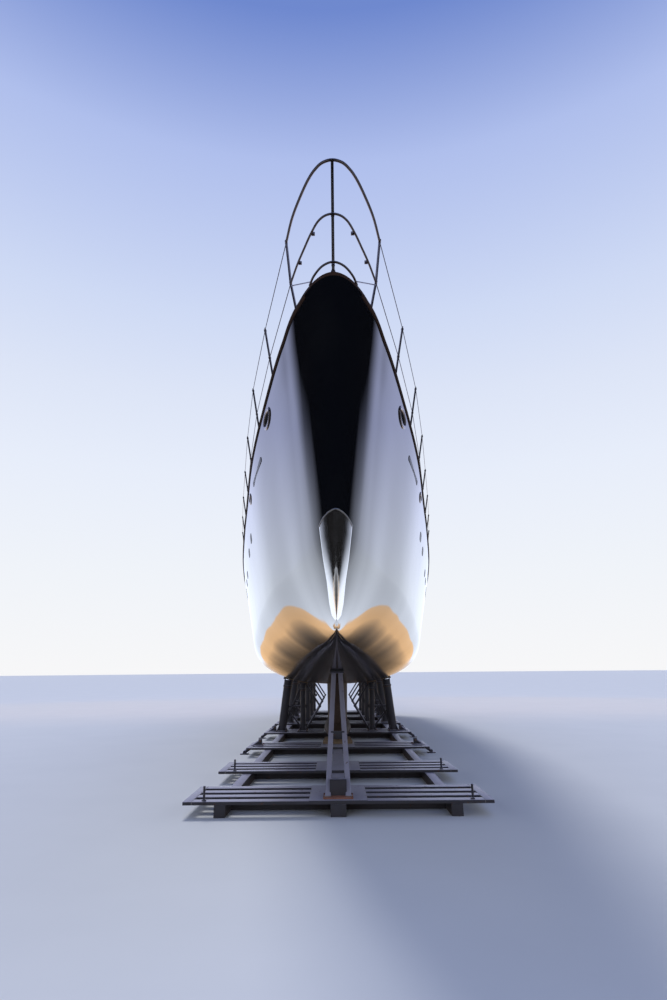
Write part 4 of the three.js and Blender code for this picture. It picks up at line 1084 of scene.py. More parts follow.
# Guard rails, pulpit and pushpit
guard = {"height": 1.09, "mid": 0.6, "lean": 0.06, "post": 0.016, "wire": 0.0055, "foot": 0.04, "inboard": 0.125,
         "places": [2.6, 4.4] + [6.4 + k * 1.99 for k in range(14)]}
pulpit = {"secondS": 0.87, "topZ": 7.81, "midZ": 7.31, "lowZ": 6.85, "topReach": 0.42, "midReach": 0.215,
          "sideTopZ": 7.84, "sideMidZ": 7.24, "sideTopHalf": 0.587, "sideMidHalf": 0.524, "radius": 0.016,
          "lowHalf": 0.262, "lowS": 0.235, "postS": 0.05, "clipS": (0.07, 0.52),
          "topBend": [(0.485, 0.453, -0.025), (0.38, 0.138, -0.015), (0.265, -0.152, -0.005), (0.19, -0.29, 0.0),
                      (0.105, -0.385, 0.0)],
          "midBend": [(0.422, 0.54, 0.052), (0.321, 0.265, 0.033), (0.243, 0.062, 0.02), (0.153, -0.12, 0.006),
                      (0.08, -0.19, 0.0)]}
pushpit = {"frontS": 34.5, "cornerS": 35.7, "aft": 35.76, "middleX": 1.1, "cornerInset": 0.16}


def guardPoint(s, side, up):
    x = deckHalf(s) - guard["inboard"] + (guard["lean"] + guard["inboard"]) * up / guard["height"]
    return Vector((side * x, bowY + s, tableValue("sheer", s) + seatGap + up))


def postTree():
    made = Grower("posts", {"Length": "Float", "Radius": "Float", "Finish": "Material"})
    length, radius = made.given("Length"), made.given("Radius")

    def part(kind, along, **sizes):
        shape = made.node("GeometryNodeMesh" + kind, None, {key.replace("_", " "): value
                                                           for key, value in sizes.items()})
        shift = made.node("ShaderNodeCombineXYZ", None, {2: along})
        return made.node("GeometryNodeTransform", None, {0: shape, "Translation": shift})

    socket = part("Cone", 0.0, Vertices=20, Radius_Top=radius * 1.25, Radius_Bottom=radius * 1.6, Depth=0.14)
    collar = part("Cylinder", 0.14, Vertices=20, Radius=radius * 1.42, Depth=0.012)
    tube = part("Cylinder", length * 0.5, Vertices=20, Radius=radius, Depth=length)
    cap = part("Cone", length - 0.006, Vertices=20, Radius_Top=radius * 0.5, Radius_Bottom=radius * 1.08,
               Depth=0.014)
    eye = part("Cylinder", length * 0.55, Vertices=16, Radius=radius * 1.3, Depth=0.026)
    topEye = part("Cylinder", length - 0.024, Vertices=16, Radius=radius * 1.3, Depth=0.022)
    made.end(standing(made, made.join(socket, collar, tube, cap, eye, topEye)))
    return made


posts = postTree()


def stanchions(word, side):
    places = guard["places"]
    feet = [guardPoint(s, side, 0.004) for s in places]
    aims = [guardPoint(s, side, guard["height"]) - foot for s, foot in zip(places, feet)]
    made = posts.grow("stanchions_" + word, feet, [], railSteel, aims, Length=guard["height"] + 0.004,
                      Radius=guard["post"])
    settle(made, railSteel, "yacht", "rail_" + word)
    starts = {guard["height"] - 0.015: ("sideTopHalf", "sideTopZ"), guard["mid"]: ("sideMidHalf", "sideMidZ")}
    wires = [[Vector((side * pulpit[half], bowY + pulpit["secondS"], pulpit[level]))]
             + [guardPoint(s, side, up) for s in [*places, pushpit["frontS"]]] for up, (half, level) in starts.items()]
    growPipes("lifelines_" + word, "yacht", wires, railSteel, guard["wire"], 8)
    feetPlates = Form()
    for s, foot in zip(places, feet):
        turn = Matrix.Translation(foot) @ Matrix.Rotation(math.atan2(deckHalf(s + 0.1) - deckHalf(s - 0.1), 0.2) *
                                                          -side, 4, "Z")
        feetPlates.prism(roundedBox(guard["foot"], guard["foot"] * 1.25, 0.018), 0, 0.008, railSteel, 0.002, turn)
        for end in (-1, 1):
            buckle = guardPoint(s, side, guard["mid"] if end < 0 else guard["height"] - 0.015)
            feetPlates.rod(buckle + Vector((0, -0.05, 0)), buckle + Vector((0, 0.05, 0)), 0.008, railSteel, 10)
    feetPlates.make("stanchionFeet_" + word, "yacht")
    places = [(foot + Vector((dx, dy, 0.012)), (0, 0, 1)) for foot in feet for dx in (-0.028, 0.028)
              for dy in (-0.036, 0.036)]
    growBolts("stanchionBolts_" + word, "yacht", places, railSteel, 0.005, 0.004)


def pulpitFrame():
    frame = Form()

    def y(s):
        return bowY + s

    p = pulpit
    footZ = tableValue("sheer", 0) + seatGap
    railTop = footZ + deckTrim["railHeight"] - 0.005
    bars = {
        "top": [(p["sideTopHalf"], y(p["secondS"]), p["sideTopZ"])] + [(x, y(s), p["topZ"] - drop)
                                                                       for x, s, drop in p["topBend"]],
        "mid": [(p["sideMidHalf"], y(p["secondS"]), p["sideMidZ"])] + [(x, y(s), p["midZ"] - drop)
                                                                       for x, s, drop in p["midBend"]],
        "low": [(p["lowHalf"], y(p["lowS"]), railTop), (p["lowHalf"] * 0.82, y(0.14), p["lowZ"] - 0.05),
                (p["lowHalf"] * 0.42, y(0.015), p["lowZ"] - 0.008)],
    }
    tips = {"top": (0, y(-p["topReach"]), p["topZ"]), "mid": (0, y(-p["midReach"]), p["midZ"]),
            "low": (0, y(-0.035), p["lowZ"])}
    for word, half in bars.items():
        path = smoothPath(mirrored(half) + [tips[word]] + half[::-1], 10)
        frame.tube(path, p["radius"] * (1 if word == "top" else 0.8), railSteel, 16)
    for side in (1, -1):
        foot = guardPoint(p["secondS"], side, 0.002)
        mid = Vector((side * p["sideMidHalf"], y(p["secondS"]), p["sideMidZ"]))
        top = Vector((side * p["sideTopHalf"], y(p["secondS"]), p["sideTopZ"]))
        frame.rod(foot, mid, p["radius"], railSteel, 16)
        frame.rod(mid, top, p["radius"], railSteel, 16)
        frame.rod(foot, foot + (mid - foot).normalized() * 0.09, p["radius"] * 1.5, railSteel, 16,
                  p["radius"] * 1.15)
        frame.prism(roundedBox(0.05, 0.05, 0.02), 0, 0.009, railSteel, 0.002, Matrix.Translation(foot))
        frame.rod((side * 0.245, y(0.195), 6.772), mid - Vector((0, 0, 0.035)), p["radius"] * 0.45, railSteel, 12)
        for joint in (mid, top):
            frame.rod(joint - Vector((0, 0.028, 0)), joint + Vector((0, 0.028, 0)), p["radius"] * 1.18, railSteel, 16)
    centreFoot = Vector((0, y(p["postS"]), footZ + deckTrim["railHeight"]))
    frame.rod(centreFoot, tips["top"], p["radius"], railSteel, 20)
    frame.rod(centreFoot, centreFoot + Vector((0, -0.015, 0.045)), 0.034, railSteel, 20, 0.022)
    for word in ("mid", "low"):
        tip = Vector(tips[word])
        share = (tip.z - centreFoot.z) / (p["topZ"] - centreFoot.z)
        on = centreFoot.lerp(Vector(tips["top"]), share)
        frame.rod(on + Vector((0, 0, -0.016)), on + Vector((0, 0, 0.016)), p["radius"] * 1.2, railSteel, 16)
    path = smoothPath(mirrored(bars["mid"]) + [tips["mid"]] + bars["mid"][::-1], 10)
    for s in p["clipS"]:
        for side in (1, -1):
            at = min((point for point in path if point.x * side > 0), key=lambda point: abs(point.y - y(s)))
            at = at - Vector((side * 0.026, 0, 0))
            frame.slab(at - Vector((0.019, 0.012, 0.019)), at + Vector((0.019, 0.012, 0.019)), railSteel, 0.004)
    frame.make("pulpit", "yacht", "pulpit")


def pushpitFrame():
    frame = Form()
    p = pushpit
    for s, side in ((p["frontS"], 1), (p["cornerS"], 1), (p["frontS"], -1), (p["cornerS"], -1)):
        foot, top = guardPoint(s, side, 0.002), guardPoint(s, side, guard["height"])
        frame.rod(foot, top, 0.016, railSteel, 16)
        frame.rod(foot, foot + (top - foot).normalized() * 0.09, 0.024, railSteel, 16, 0.019)
        frame.prism(roundedBox(0.045, 0.045, 0.018), 0, 0.009, railSteel, 0.002, Matrix.Translation(foot))
    for side in (1, -1):
        x, y = side * p["middleX"], bowY + p["aft"]
        z = deckZ(p["aft"], x) + plankThickness + seatGap
        top = guardPoint(p["aft"], side, guard["height"]).z
        frame.rod((x, y, z), (x, y, top), 0.016, railSteel, 16)
        frame.rod((x, y, z), (x, y, z + 0.09), 0.024, railSteel, 16, 0.019)
        frame.prism(circle(0.045, 20), 0, 0.009, railSteel, 0.002, Matrix.Translation((x, y, z)))
    for up, radius in ((guard["height"] - 0.01, 0.016), (guard["mid"], 0.0128)):
        corner, front = guardPoint(p["cornerS"], 1, up), guardPoint(p["frontS"], 1, up)
        y = bowY + p["aft"]
        port = [front, corner, Vector((corner.x - p["cornerInset"], y - 0.015, corner.z)),
                Vector((p["middleX"], y, corner.z))]
        frame.tube(smoothPath(port + mirrored(port)[::-1], 10), radius, railSteel, 16)
    frame.make("pushpit", "yacht", "pushpit")


stanchions("port", 1)
stanchions("stbd", -1)
pulpitFrame()
pushpitFrame()
print("rails ready")


# Deckhouse: walls with cut windows, a wrap-round glass band, and a crowned roof
houseTrim = {"low": 6.48, "high": 6.88, "glassLow": 6.44, "glassHigh": 6.92, "glassAft": 21.8, "corner": 0.06,
             "sides": [(17.3, 18.65), (18.8, 20.15), (20.3, 21.55)], "fronts": [0, 33, -33, 62, -62],
             "frontHalf": 0.46, "roofBase": 6.96, "roofEdge": 7.035}


def leanAt(z):
    (z0, l0), (z1, l1), (z2, l2) = house["levels"]
    return l0 + (l1 - l0) * (z - z0) / (z1 - z0) if z < z1 else l1 + (l2 - l1) * (z - z1) / (z2 - z1)


def houseRing(inset, z, aftInset=0.0):
    return [Vector((x, y, z)) for x, y in housePlan(leanAt(z) + inset, aftInset)]


# Open line round the front, from starboard aft to port aft
def houseLine(inset, z, aft):
    ring = housePlan(leanAt(z) + inset)
    ring[0], ring[-1] = (ring[0][0], bowY + aft), (ring[-1][0], bowY + aft)
    return [Vector((x, y, z)) for x, y in ring]


def houseBand(form, finish, out, into, low, high, aft):
    lines = [houseLine(out, low, aft), houseLine(out, high, aft), houseLine(into, high, aft),
             houseLine(into, low, aft)]
    form.skin([list(ring) for ring in zip(*lines)], finish)


def deckhouse():
    walls = Form()
    levels = [5.85, 5.9, 6.48, 6.96]
    walls.skin([houseRing(0, z) for z in levels], whitePaint)
    body = walls.plain("deckhouseWalls")
    cutters = Form()
    wall = house["wall"]
    cutters.skin([houseRing(wall, z, wall) for z in (5.7, 6.48, 7.1)], whitePaint)
    houseBand(cutters, whitePaint, -0.05, house["glass"] + 0.0003, houseTrim["glassLow"], houseTrim["glassHigh"],
              houseTrim["glassAft"])
    low, high, corner = houseTrim["low"], houseTrim["high"], houseTrim["corner"]
    middle = (low + high) / 2
    for s0, s1 in houseTrim["sides"]:
        outline = roundedBox((s1 - s0) / 2, (high - low) / 2, corner, 5)
        place = Matrix.Translation((0, bowY + (s0 + s1) / 2, middle)) @ Matrix(((0, 0, 1, 0), (1, 0, 0, 0),
                                                                                (0, 1, 0, 0), (0, 0, 0, 1)))
        cutters.prism(outline, -3.0, 3.0, whitePaint, place=place)
    for turn in houseTrim["fronts"]:
        outline = roundedBox(houseTrim["frontHalf"], (high - low) / 2, corner, 5)
        place = (Matrix.Translation((0, bowY + house["shoulder"], middle)) @ Matrix.Rotation(math.radians(turn), 4, "Z")
                 @ Matrix.Rotation(math.radians(90), 4, "X"))
        cutters.prism(outline, 0.0, 3.6, whitePaint, place=place)
    aft = bowY + house["aft"]
    cutters.slab((-door["half"], aft - door["depth"], door["sill"] - 0.006), (door["half"], aft + 0.01, door["head"]),
                 whitePaint)
    cutters.slab((-door["jamb"], aft - 0.4, door["sill"] + door["lap"]), (door["jamb"], aft + 0.01,
                 door["head"] - door["lap"]), whitePaint)
    carve(body, cutters)
    settle(body, whitePaint, "yacht", "deckhouse_shell")


def houseGlass():
    glass = Form()
    houseBand(glass, tintedGlass, 0.0, house["glass"], houseTrim["glassLow"], houseTrim["glassHigh"],
              houseTrim["glassAft"])
    glass.make("deckhouseGlass", "yacht", "deckhouse_glass")
    seals = Form()
    for low, high in ((houseTrim["glassLow"] - 0.012, houseTrim["glassLow"] + 0.004),
                      (houseTrim["glassHigh"] - 0.004, houseTrim["glassHigh"] + 0.012)):
        houseBand(seals, rubber, -0.004, 0.0, low, high, houseTrim["glassAft"])
    seals.make("glassSeals", "yacht")


def houseRoof():
    roof = Form()
    rings = [(0.27, houseTrim["roofBase"] + 0.0003), (0.235, houseTrim["roofBase"] + 0.02), (0.23, 7.015),
             (0.245, houseTrim["roofEdge"]), (0.3, 7.047), (0.45, 7.07), (0.8, 7.1), (1.2, 7.117), (1.7, 7.128)]
    roof.skin([[Vector((x, y, z)) for x, y in housePlan(inset, inset * 0.25)] for inset, z in rings], whitePaint)
    roof.make("deckhouseRoof", "yacht", "deckhouse_roof", angle=40)


# Height of the roof at a place on it
def roofZ(x):
    share = min(1, max(0, (2.1 - abs(x)) / 1.5))
    return 7.047 + 0.078 * math.sin(share * math.pi / 2)


roofGear = {"railX": 1.55, "railS": (16.4, 21.2), "posts": 7, "hatches": [(16.7, 0.32), (19.2, 0.32)],
            "slide": (20.9, 21.95, 0.42)}


def roofDetails():
    rails = Form()
    s0, s1 = roofGear["railS"]
    count = roofGear["posts"]
    for side in (1, -1):
        x = side * roofGear["railX"]
        z = roofZ(x)
        places = [s0 + (s1 - s0) * k / (count - 1) for k in range(count)]
        path = [Vector((x, bowY + s0 - 0.09, z + 0.012))]
        for k, s in enumerate(places):
            path.append(Vector((x, bowY + s, z + 0.03)))
            if k + 1 < count:
                path.append(Vector((x, bowY + s + (s1 - s0) / (count - 1) / 2, z + 0.075)))
        path.append(Vector((x, bowY + s1 + 0.09, z + 0.012)))
        rails.sweep(smoothPath(path, 8), roundedBox(0.017, 0.014, 0.009, 3), varnish, upright=(0, 0, 1))
        for s in places:
            rails.prism(roundedBox(0.03, 0.06, 0.02), z - 0.006, z + 0.022, varnish, 0.004,
                        Matrix.Translation((x, bowY + s, 0)))
    rails.make("roofHandrails", "yacht")
    hatches = Form()
    for s, half in roofGear["hatches"]:
        for side in (1, -1):
            place = Matrix.Translation((side * 0.72, bowY + s, roofZ(0.72))) @ Matrix.Rotation(side * 0.02, 4, "Y")
            hatches.prism(roundedBox(half, half, 0.07, 5), -0.01, 0.022, steel, 0.006, place)
            hatches.prism(roundedBox(half - 0.03, half - 0.03, 0.05, 5), 0.0, 0.03, blackGlass, 0.004, place)
            for hinge in (-0.16, 0.16):
                hatches.rod(place @ Vector((hinge - 0.03, -half - 0.004, 0.022)),
                            place @ Vector((hinge + 0.03, -half - 0.004, 0.022)), 0.012, steel, 12)
    hatches.make("roofHatches", "yacht")
    slide = Form()
    s0, s1, half = roofGear["slide"]
    slide.slab((-half, bowY + s0, roofZ(0) - 0.02), (half, bowY + s1, roofZ(0) + 0.045), whitePaint, 0.016)
    slide.slab((-half + 0.1, bowY + s0 + 0.1, roofZ(0)), (half - 0.1, bowY + s1 - 0.12, roofZ(0) + 0.049), blackGlass,
               0.004)
    for side in (1, -1):
        slide.slab((side * (half + 0.05) - 0.02, bowY + s0 - 0.75, roofZ(0) - 0.02),
                   (side * (half + 0.05) + 0.02, bowY + s1, roofZ(0) + 0.02), steel, 0.005)
    slide.make("slidingHatch", "yacht")


# Cove moulding at the foot of the house
def houseTrimming():
    trim = Form()
    foot = [Vector((x, y, 0)) for x, y in housePlan(-0.02, -0.02)]
    edge = []
    for corner in foot:
        s = corner.y - bowY
        z = deckZ(min(s, 35.9), corner.x) + plankThickness
        edge.append([Vector((corner.x * (1 + up), corner.y, z + rise)) for up, rise in (
            (0.0, -0.004), (0.006, -0.004), (0.006, 0.02), (0.003, 0.034), (-0.006, 0.034))])
    trim.skin(edge, varnish)
    trim.make("houseCove", "yacht")


def saloonInside():
    inside = Form()
    plan = housePlan(saloon["inset"] + 0.002, house["aft"] - saloon["aft"] + 0.002)
    inside.prism(plan, saloon["floor"] + 0.001, saloon["floor"] + 0.003, laidTeak)
    inside.make("saloonSole", "yacht")
    joinery = Form()
    joinery.slab((-0.45, bowY + 18.2, 5.42), (0.45, bowY + 19.9, 5.46), varnish, 0.01)
    for s in (18.55, 19.55):
        joinery.slab((-0.08, bowY + s - 0.08, 4.753), (0.08, bowY + s + 0.08, 5.43), varnish, 0.008)
    for side in (1, -1):
        joinery.slab((side * 1.39 - 0.43, bowY + 21.02, 4.753), (side * 1.39 + 0.43, bowY + 21.82, 5.6), varnish, 0.012)
        joinery.slab((side * 1.39 - 0.45, bowY + 21.0, 5.6), (side * 1.39 + 0.45, bowY + 21.84, 5.63), whitePaint, 0.008)
    joinery.make("saloonJoinery", "yacht")


# A steel frame and a lever on the dark glass door
def doorDetails():
    frame = Form()
    aft = bowY + house["aft"]
    y0, y1 = aft - door["depth"] + seatGap - 0.001, aft - door["depth"] + door["thickness"] + 0.003
    x, low, high = door["half"] - 0.007, door["sill"], door["head"]
    for x0, x1, z0, z1 in ((-x, -x + 0.055, low, high), (x - 0.055, x, low, high), (-x + 0.055, x - 0.055, low, low + 0.09),
                           (-x + 0.055, x - 0.055, high - 0.055, high),
                           (-x + 0.055, x - 0.055, low + 0.74, low + 0.79)):
        frame.slab((x0, y0, z0), (x1, y1, z1), steel, 0.004)
    frame.rod((x - 0.1, y1, low + 0.72), (x - 0.1, y1 + 0.035, low + 0.72), 0.012, steel, 16)
    frame.sweep(smoothPath([(x - 0.1, y1 + 0.035, low + 0.72), (x - 0.15, y1 + 0.037, low + 0.72),
                            (x - 0.23, y1 + 0.035, low + 0.715)], 6), circle(0.009, 12), steel)
    frame.make("doorFrame", "companion_door")


deckhouse()
houseGlass()
houseRoof()
roofDetails()
houseTrimming()
saloonInside()
doorDetails()
print("deckhouse ready")


# Padded cushions: a soft-edged block that cloth pressure fills, with piping laid on its seams
padding = {"voxel": 0.016, "pressure": 4.0, "frames": 20, "cap": 0.02, "piping": 0.006}
filled = {}


def cushionMesh(length, width, height):
    key = (length, width, height)
    if key in filled:
        return filled[key]
    pad = Form()
    rows, columns, layers = 12, 8, 4
    soft = min(height * 0.42, 0.05)

    def point(u, v, w):
        crown = (1 - u ** 4) * (1 - v ** 4)
        x = u * (width / 2 - soft * 0.25 * abs(w)) * (1 - 0.02 * (1 - v * v))
        y = v * (length / 2 - soft * 0.25 * abs(w)) * (1 - 0.008 * (1 - u * u))
        return Vector((x, y, w * height / 2 * (0.78 + 0.22 * crown)))

    grid = {}
    faces = []
    for u in range(columns + 1):
        for v in range(rows + 1):
            for w in range(layers + 1):
                if u in (0, columns) or v in (0, rows) or w in (0, layers):
                    grid[u, v, w] = pad.mesh.verts.new(point(2 * u / columns - 1, 2 * v / rows - 1, 2 * w / layers - 1))
    for w in (0, layers):
        faces += [[(u, v, w), (u + 1, v, w), (u + 1, v + 1, w), (u, v + 1, w)] for u in range(columns) for v in range(rows)]
    for v in (0, rows):
        faces += [[(u, v, w), (u + 1, v, w), (u + 1, v, w + 1), (u, v, w + 1)] for u in range(columns)
                  for w in range(layers)]
    for u in (0, columns):
        faces += [[(u, v, w), (u, v + 1, w), (u, v + 1, w + 1), (u, v, w + 1)] for v in range(rows) for w in range(layers)]
    index = pad.number(cover)
    for corners in faces:
        pad.face([grid[corner] for corner in corners], index)
    body = pad.plain("padding", 80)
    smooth = body.modifiers.new("soft", "SUBSURF")
    smooth.levels = smooth.render_levels = 2
    remesh = body.modifiers.new("voxels", "REMESH")
    remesh.mode = "VOXEL"
    remesh.voxel_size = padding["voxel"]
    remesh.use_smooth_shade = True
    graph = bpy.context.evaluated_depsgraph_get()
    data = bpy.data.meshes.new_from_object(body.evaluated_get(graph), depsgraph=graph)
    body.modifiers.clear()
    body.data = data
    start = [vertex.co.copy() for vertex in data.vertices]
    cloth = body.modifiers.new("fill", "CLOTH")
    cloth.settings.quality = 5
    cloth.settings.mass = 0.3
    cloth.settings.tension_stiffness = 20
    cloth.settings.compression_stiffness = 20
    cloth.settings.use_pressure = True
    cloth.settings.uniform_pressure_force = padding["pressure"]
    cloth.settings.effector_weights.gravity = 0
    cloth.point_cache.frame_end = padding["frames"]
    scene = bpy.context.scene
    for step in range(1, padding["frames"] + 1):
        scene.frame_set(step)
    graph = bpy.context.evaluated_depsgraph_get()
    data = bpy.data.meshes.new_from_object(body.evaluated_get(graph), depsgraph=graph)
    for vertex, first in zip(data.vertices, start):
        move = vertex.co - first
        if move.length > padding["cap"]:
            vertex.co = first + move.normalized() * padding["cap"]
    body.modifiers.clear()
    scene.frame_set(1)
    bpy.data.objects.remove(body)
    data.shade_smooth()
    filled[key] = data
    return data


# A cushion lies flat, or stands up against a back by its place
def cushion(name, place, length, width, height):
    data = cushionMesh(length, width, height).copy()
    data.name = name
    data.transform(place)
    data.materials.clear()
    data.materials.append(cover.material)
    made = bpy.data.objects.new(name, data)
    bpy.context.scene.collection.objects.link(made)
    settle(made, cover, "yacht")


def piping(form, place, length, width, height):
    for level in (-0.3, 0.3):
        ring = [place @ Vector((u, v, level * height)) for u, v in roundedBox(width / 2 - 0.002, length / 2 - 0.002,
                                                                              min(0.05, height * 0.4), 5)]
        form.tube(ring, padding["piping"], rubber, 8, True)


# Cockpit: coamings with teak caps, laid soles, benches, backs and a table
cockpit = {"inner": 2.17, "outer": 2.52, "s0": 22.008, "s1": 26.45, "crossS": 25.95, "passage": 0.56, "top": 6.33,
           "cap": 0.02, "sole": 0.004, "benchInner": 1.4, "benchOuter": 2.14, "benchS": (22.5, 25.75),
           "benchTop": 5.46, "pads": 3, "padHeight": 0.125, "backHeight": 0.36, "backDepth": 0.1}


def coaming(word, side):
    form = Form()
    c = cockpit
    outline = [(c["inner"], c["s0"]), (c["outer"], c["s0"]), (c["outer"], c["s1"]), (c["passage"], c["s1"]),
               (c["passage"], c["crossS"]), (c["inner"], c["crossS"])]
    outline = [(side * x, bowY + s) for x, s in outline]
    form.prism(outline, 5.93, c["top"] - c["cap"] + 0.004, whitePaint, 0.018)
    inset = [(c["inner"] + 0.03, c["s0"] + 0.03), (c["outer"] - 0.03, c["s0"] + 0.03), (c["outer"] - 0.03, c["s1"] - 0.03),
             (c["passage"] + 0.03, c["s1"] - 0.03), (c["passage"] + 0.03, c["crossS"] + 0.03),
             (c["inner"] + 0.03, c["crossS"] + 0.03)]
    form.prism([(side * x, bowY + s) for x, s in inset], c["top"] - c["cap"], c["top"], varnish, 0.006)
    form.make("coaming_" + word, "yacht", "coaming_" + word)
    # Dark panels on the coaming's outboard face stand for the pockets: painted shade, no recess is cut
    locker = Form()
    for s in (23.2, 24.9):
        x = side * (c["inner"] + 0.345)
        locker.slab((min(x, x + side * 0.012), bowY + s - 0.3, 6.1), (max(x, x + side * 0.012), bowY + s + 0.3, 6.25),
                    blackGlass, 0.004)
    locker.make("coamingPockets_" + word, "yacht")


def cockpitSoles():
    soles = Form()
    for word, (half, s0, s1, floor) in wells.items():
        edge = 0.012
        aft = s1 - edge if word != "passage" else s1
        soles.slab((-half + edge, bowY + s0 + edge, floor + 0.0005), (half - edge, bowY + aft, floor + cockpit["sole"]),
                   laidTeak)
    soles.make("cockpitSoles", "yacht")
    steps = Form()
    steps.slab((-0.42, bowY + 26.62, 5.154), (0.42, bowY + 26.9, 5.3), whitePaint, 0.01)
    steps.slab((-0.4, bowY + 26.64, 5.3), (0.4, bowY + 26.88, 5.308), laidTeak, 0.002)
    steps.make("cockpitStep", "yacht")


def benches():
    c = cockpit
    s0, s1 = c["benchS"]
    pitch = (s1 - s0) / c["pads"]
    for word, side in (("port", 1), ("stbd", -1)):
        base = Form()
        x0, x1 = sorted((side * c["benchInner"], side * c["benchOuter"]))
        base.slab((x0, bowY + s0, 5.1506), (x1, bowY + s1, c["benchTop"]), whitePaint, 0.02)
        face = side * c["benchInner"]
        for k in range(c["pads"]):
            low = bowY + s0 + pitch * k + 0.1
            x0, x1 = sorted((face - side * 0.006, face + side * 0.02))
            base.slab((x0, low, 5.22), (x1, low + pitch - 0.2, 5.4), varnish, 0.005)
            base.rod((face - side * 0.012, low + pitch / 2 - 0.13, 5.31), (face - side * 0.012, low + pitch / 2 - 0.07, 5.31),
                     0.007, steel, 10)
        base.make("benchBase_" + word, "yacht", "cockpit_bench_" + word)
        edging = Form()
        width, length = c["benchOuter"] - c["benchInner"], pitch - 0.014
        for k in range(c["pads"]):
            y = bowY + s0 + pitch * (k + 0.5)
            seat = Matrix.Translation((side * (c["benchInner"] + width / 2), y, c["benchTop"] + c["padHeight"] / 2))
            cushion(f"seatPad_{word}_{k + 1}", seat, length, width, c["padHeight"])
            piping(edging, seat, length, width, c["padHeight"])
            back = (Matrix.Translation((side * (c["benchOuter"] - c["backDepth"] / 2 + 0.002), y, c["benchTop"]
                    + c["padHeight"] + c["backHeight"] / 2 + 0.01)) @ Matrix.Rotation(side * math.radians(84), 4, "Y"))
            cushion(f"backPad_{word}_{k + 1}", back, length, c["backHeight"], c["backDepth"])
            piping(edging, back, length, c["backHeight"], c["backDepth"])
        edging.make("benchPiping_" + word, "yacht")


table = {"half": 0.43, "s0": 23.3, "s1": 25.0, "top": 5.8703, "thickness": 0.04, "legInset": 0.35}


def cockpitTable():
    form = Form()
    t = table
    y0, y1 = bowY + t["s0"], bowY + t["s1"]
    for side in (1, -1):
        outline = [(side * x, y) for x, y in ((0.003, y0), (t["half"] - 0.08, y0), (t["half"] - 0.02, y0 + 0.02),
                   (t["half"], y0 + 0.08), (t["half"], y1 - 0.08), (t["half"] - 0.02, y1 - 0.02),
                   (t["half"] - 0.08, y1), (0.003, y1))]
        form.prism(outline, t["top"] - t["thickness"] + 0.008, t["top"] - 0.004, varnish, 0.008)
        form.slab((side * 0.2 - 0.15, y0 + 0.12, t["top"] - 0.006), (side * 0.2 + 0.15, y1 - 0.12, t["top"] - 0.001),
                  laidTeak, 0.002)
    for s in (t["s0"] + t["legInset"], t["s1"] - t["legInset"]):
        y = bowY + s
        place = Matrix.Translation((0, y, 5.1503))
        form.lathe([(0.16, 0.0), (0.16, 0.008), (0.15, 0.014), (0.07, 0.022), (0.055, 0.05), (0.055, 0.6), (0.075, 0.64),
                    (0.14, 0.672), (0.14, 0.684)], steel, 32, place)
    form.slab((-0.05, y0 + 0.05, t["top"] - 0.03), (0.05, y1 - 0.05, t["top"] - 0.001), steel, 0.004)
    form.make("cockpitTable", "yacht", "cockpit_table")


# Helm: consoles with instruments and a grab rail, wheels, and slatted foot gratings
helm = {"x": 1.75, "s": 28.3, "depth": 0.36, "width": 0.42, "hubUp": 0.9, "wheel": 0.6, "rim": 0.017,
        "spokes": 5, "floor": 5.4503, "wheelY": 10.8283}


def helmConsole(word, side):
    form = Form()
    h = helm
    place = Vector((side * h["x"], bowY + h["s"], h["floor"]))

    def level(scale, up, shift, squash=1.0):
        half = roundedBox(h["width"] * scale / 2, h["depth"] * scale * squash / 2, 0.05 * scale, 5)
        return [place + Vector((u, v + shift, up)) for u, v in half]

    form.skin([level(1.0, 0.001, 0), level(0.99, 0.02, 0), level(0.93, 0.28, 0.009), level(0.83, 0.7, 0.027),
               level(0.8, 0.86, 0.036), level(0.8, 0.97, 0.036), level(0.77, 0.995, 0.036), level(0.7, 1.0, 0.036)], carbon)
    form.make("helmConsole_" + word, "yacht", "helm_pedestal_" + word)
    gear = Form()
    top = place + Vector((0, 0.036, 1.0))
    gear.lathe([(0.062, -0.002), (0.062, 0.012), (0.056, 0.02), (0.05, 0.02)], steel, 32, Matrix.Translation(top))
    gear.lathe([(0.05, 0.012), (0.048, 0.03), (0.04, 0.046), (0.026, 0.057), (0.01, 0.061)], blackGlass, 32,
               Matrix.Translation(top))
    tilt = Matrix.Translation(place + Vector((0, 0.175, 0.8))) @ Matrix.Rotation(math.radians(-84), 4, "X")
    gear.prism(roundedBox(0.12, 0.075, 0.014), -0.012, 0.012, rubber, 0.004, tilt)
    gear.prism(roundedBox(0.108, 0.063, 0.01), -0.004, 0.0145, blackGlass, 0.002, tilt)
    lever = place + Vector((side * -0.178, 0.03, 0.86))
    gear.rod(lever + Vector((side * 0.02, 0, 0)), lever - Vector((side * 0.02, 0, 0)), 0.035, steel, 24, soft=0.004)
    gear.tube(smoothPath([lever - Vector((side * 0.016, 0, 0)), lever + Vector((side * -0.022, -0.02, 0.06)),
                          lever + Vector((side * -0.022, -0.035, 0.13))], 6), 0.008, steel, 12)
    gear.rod(lever + Vector((side * -0.022, -0.033, 0.115)), lever + Vector((side * -0.022, -0.045, 0.155)), 0.014, rubber,
             16, soft=0.003)
    loop = [place + Vector(p) for p in ((-0.19, -0.14, 0.55), (-0.19, -0.22, 0.6), (-0.19, -0.235, 0.85),
            (-0.16, -0.2, 1.04), (0.0, -0.19, 1.06), (0.16, -0.2, 1.04), (0.19, -0.235, 0.85), (0.19, -0.22, 0.6),
            (0.19, -0.14, 0.55))]
    gear.tube(smoothPath(loop, 8), 0.014, steel, 14)
    gear.make("helmGear_" + word, "yacht")


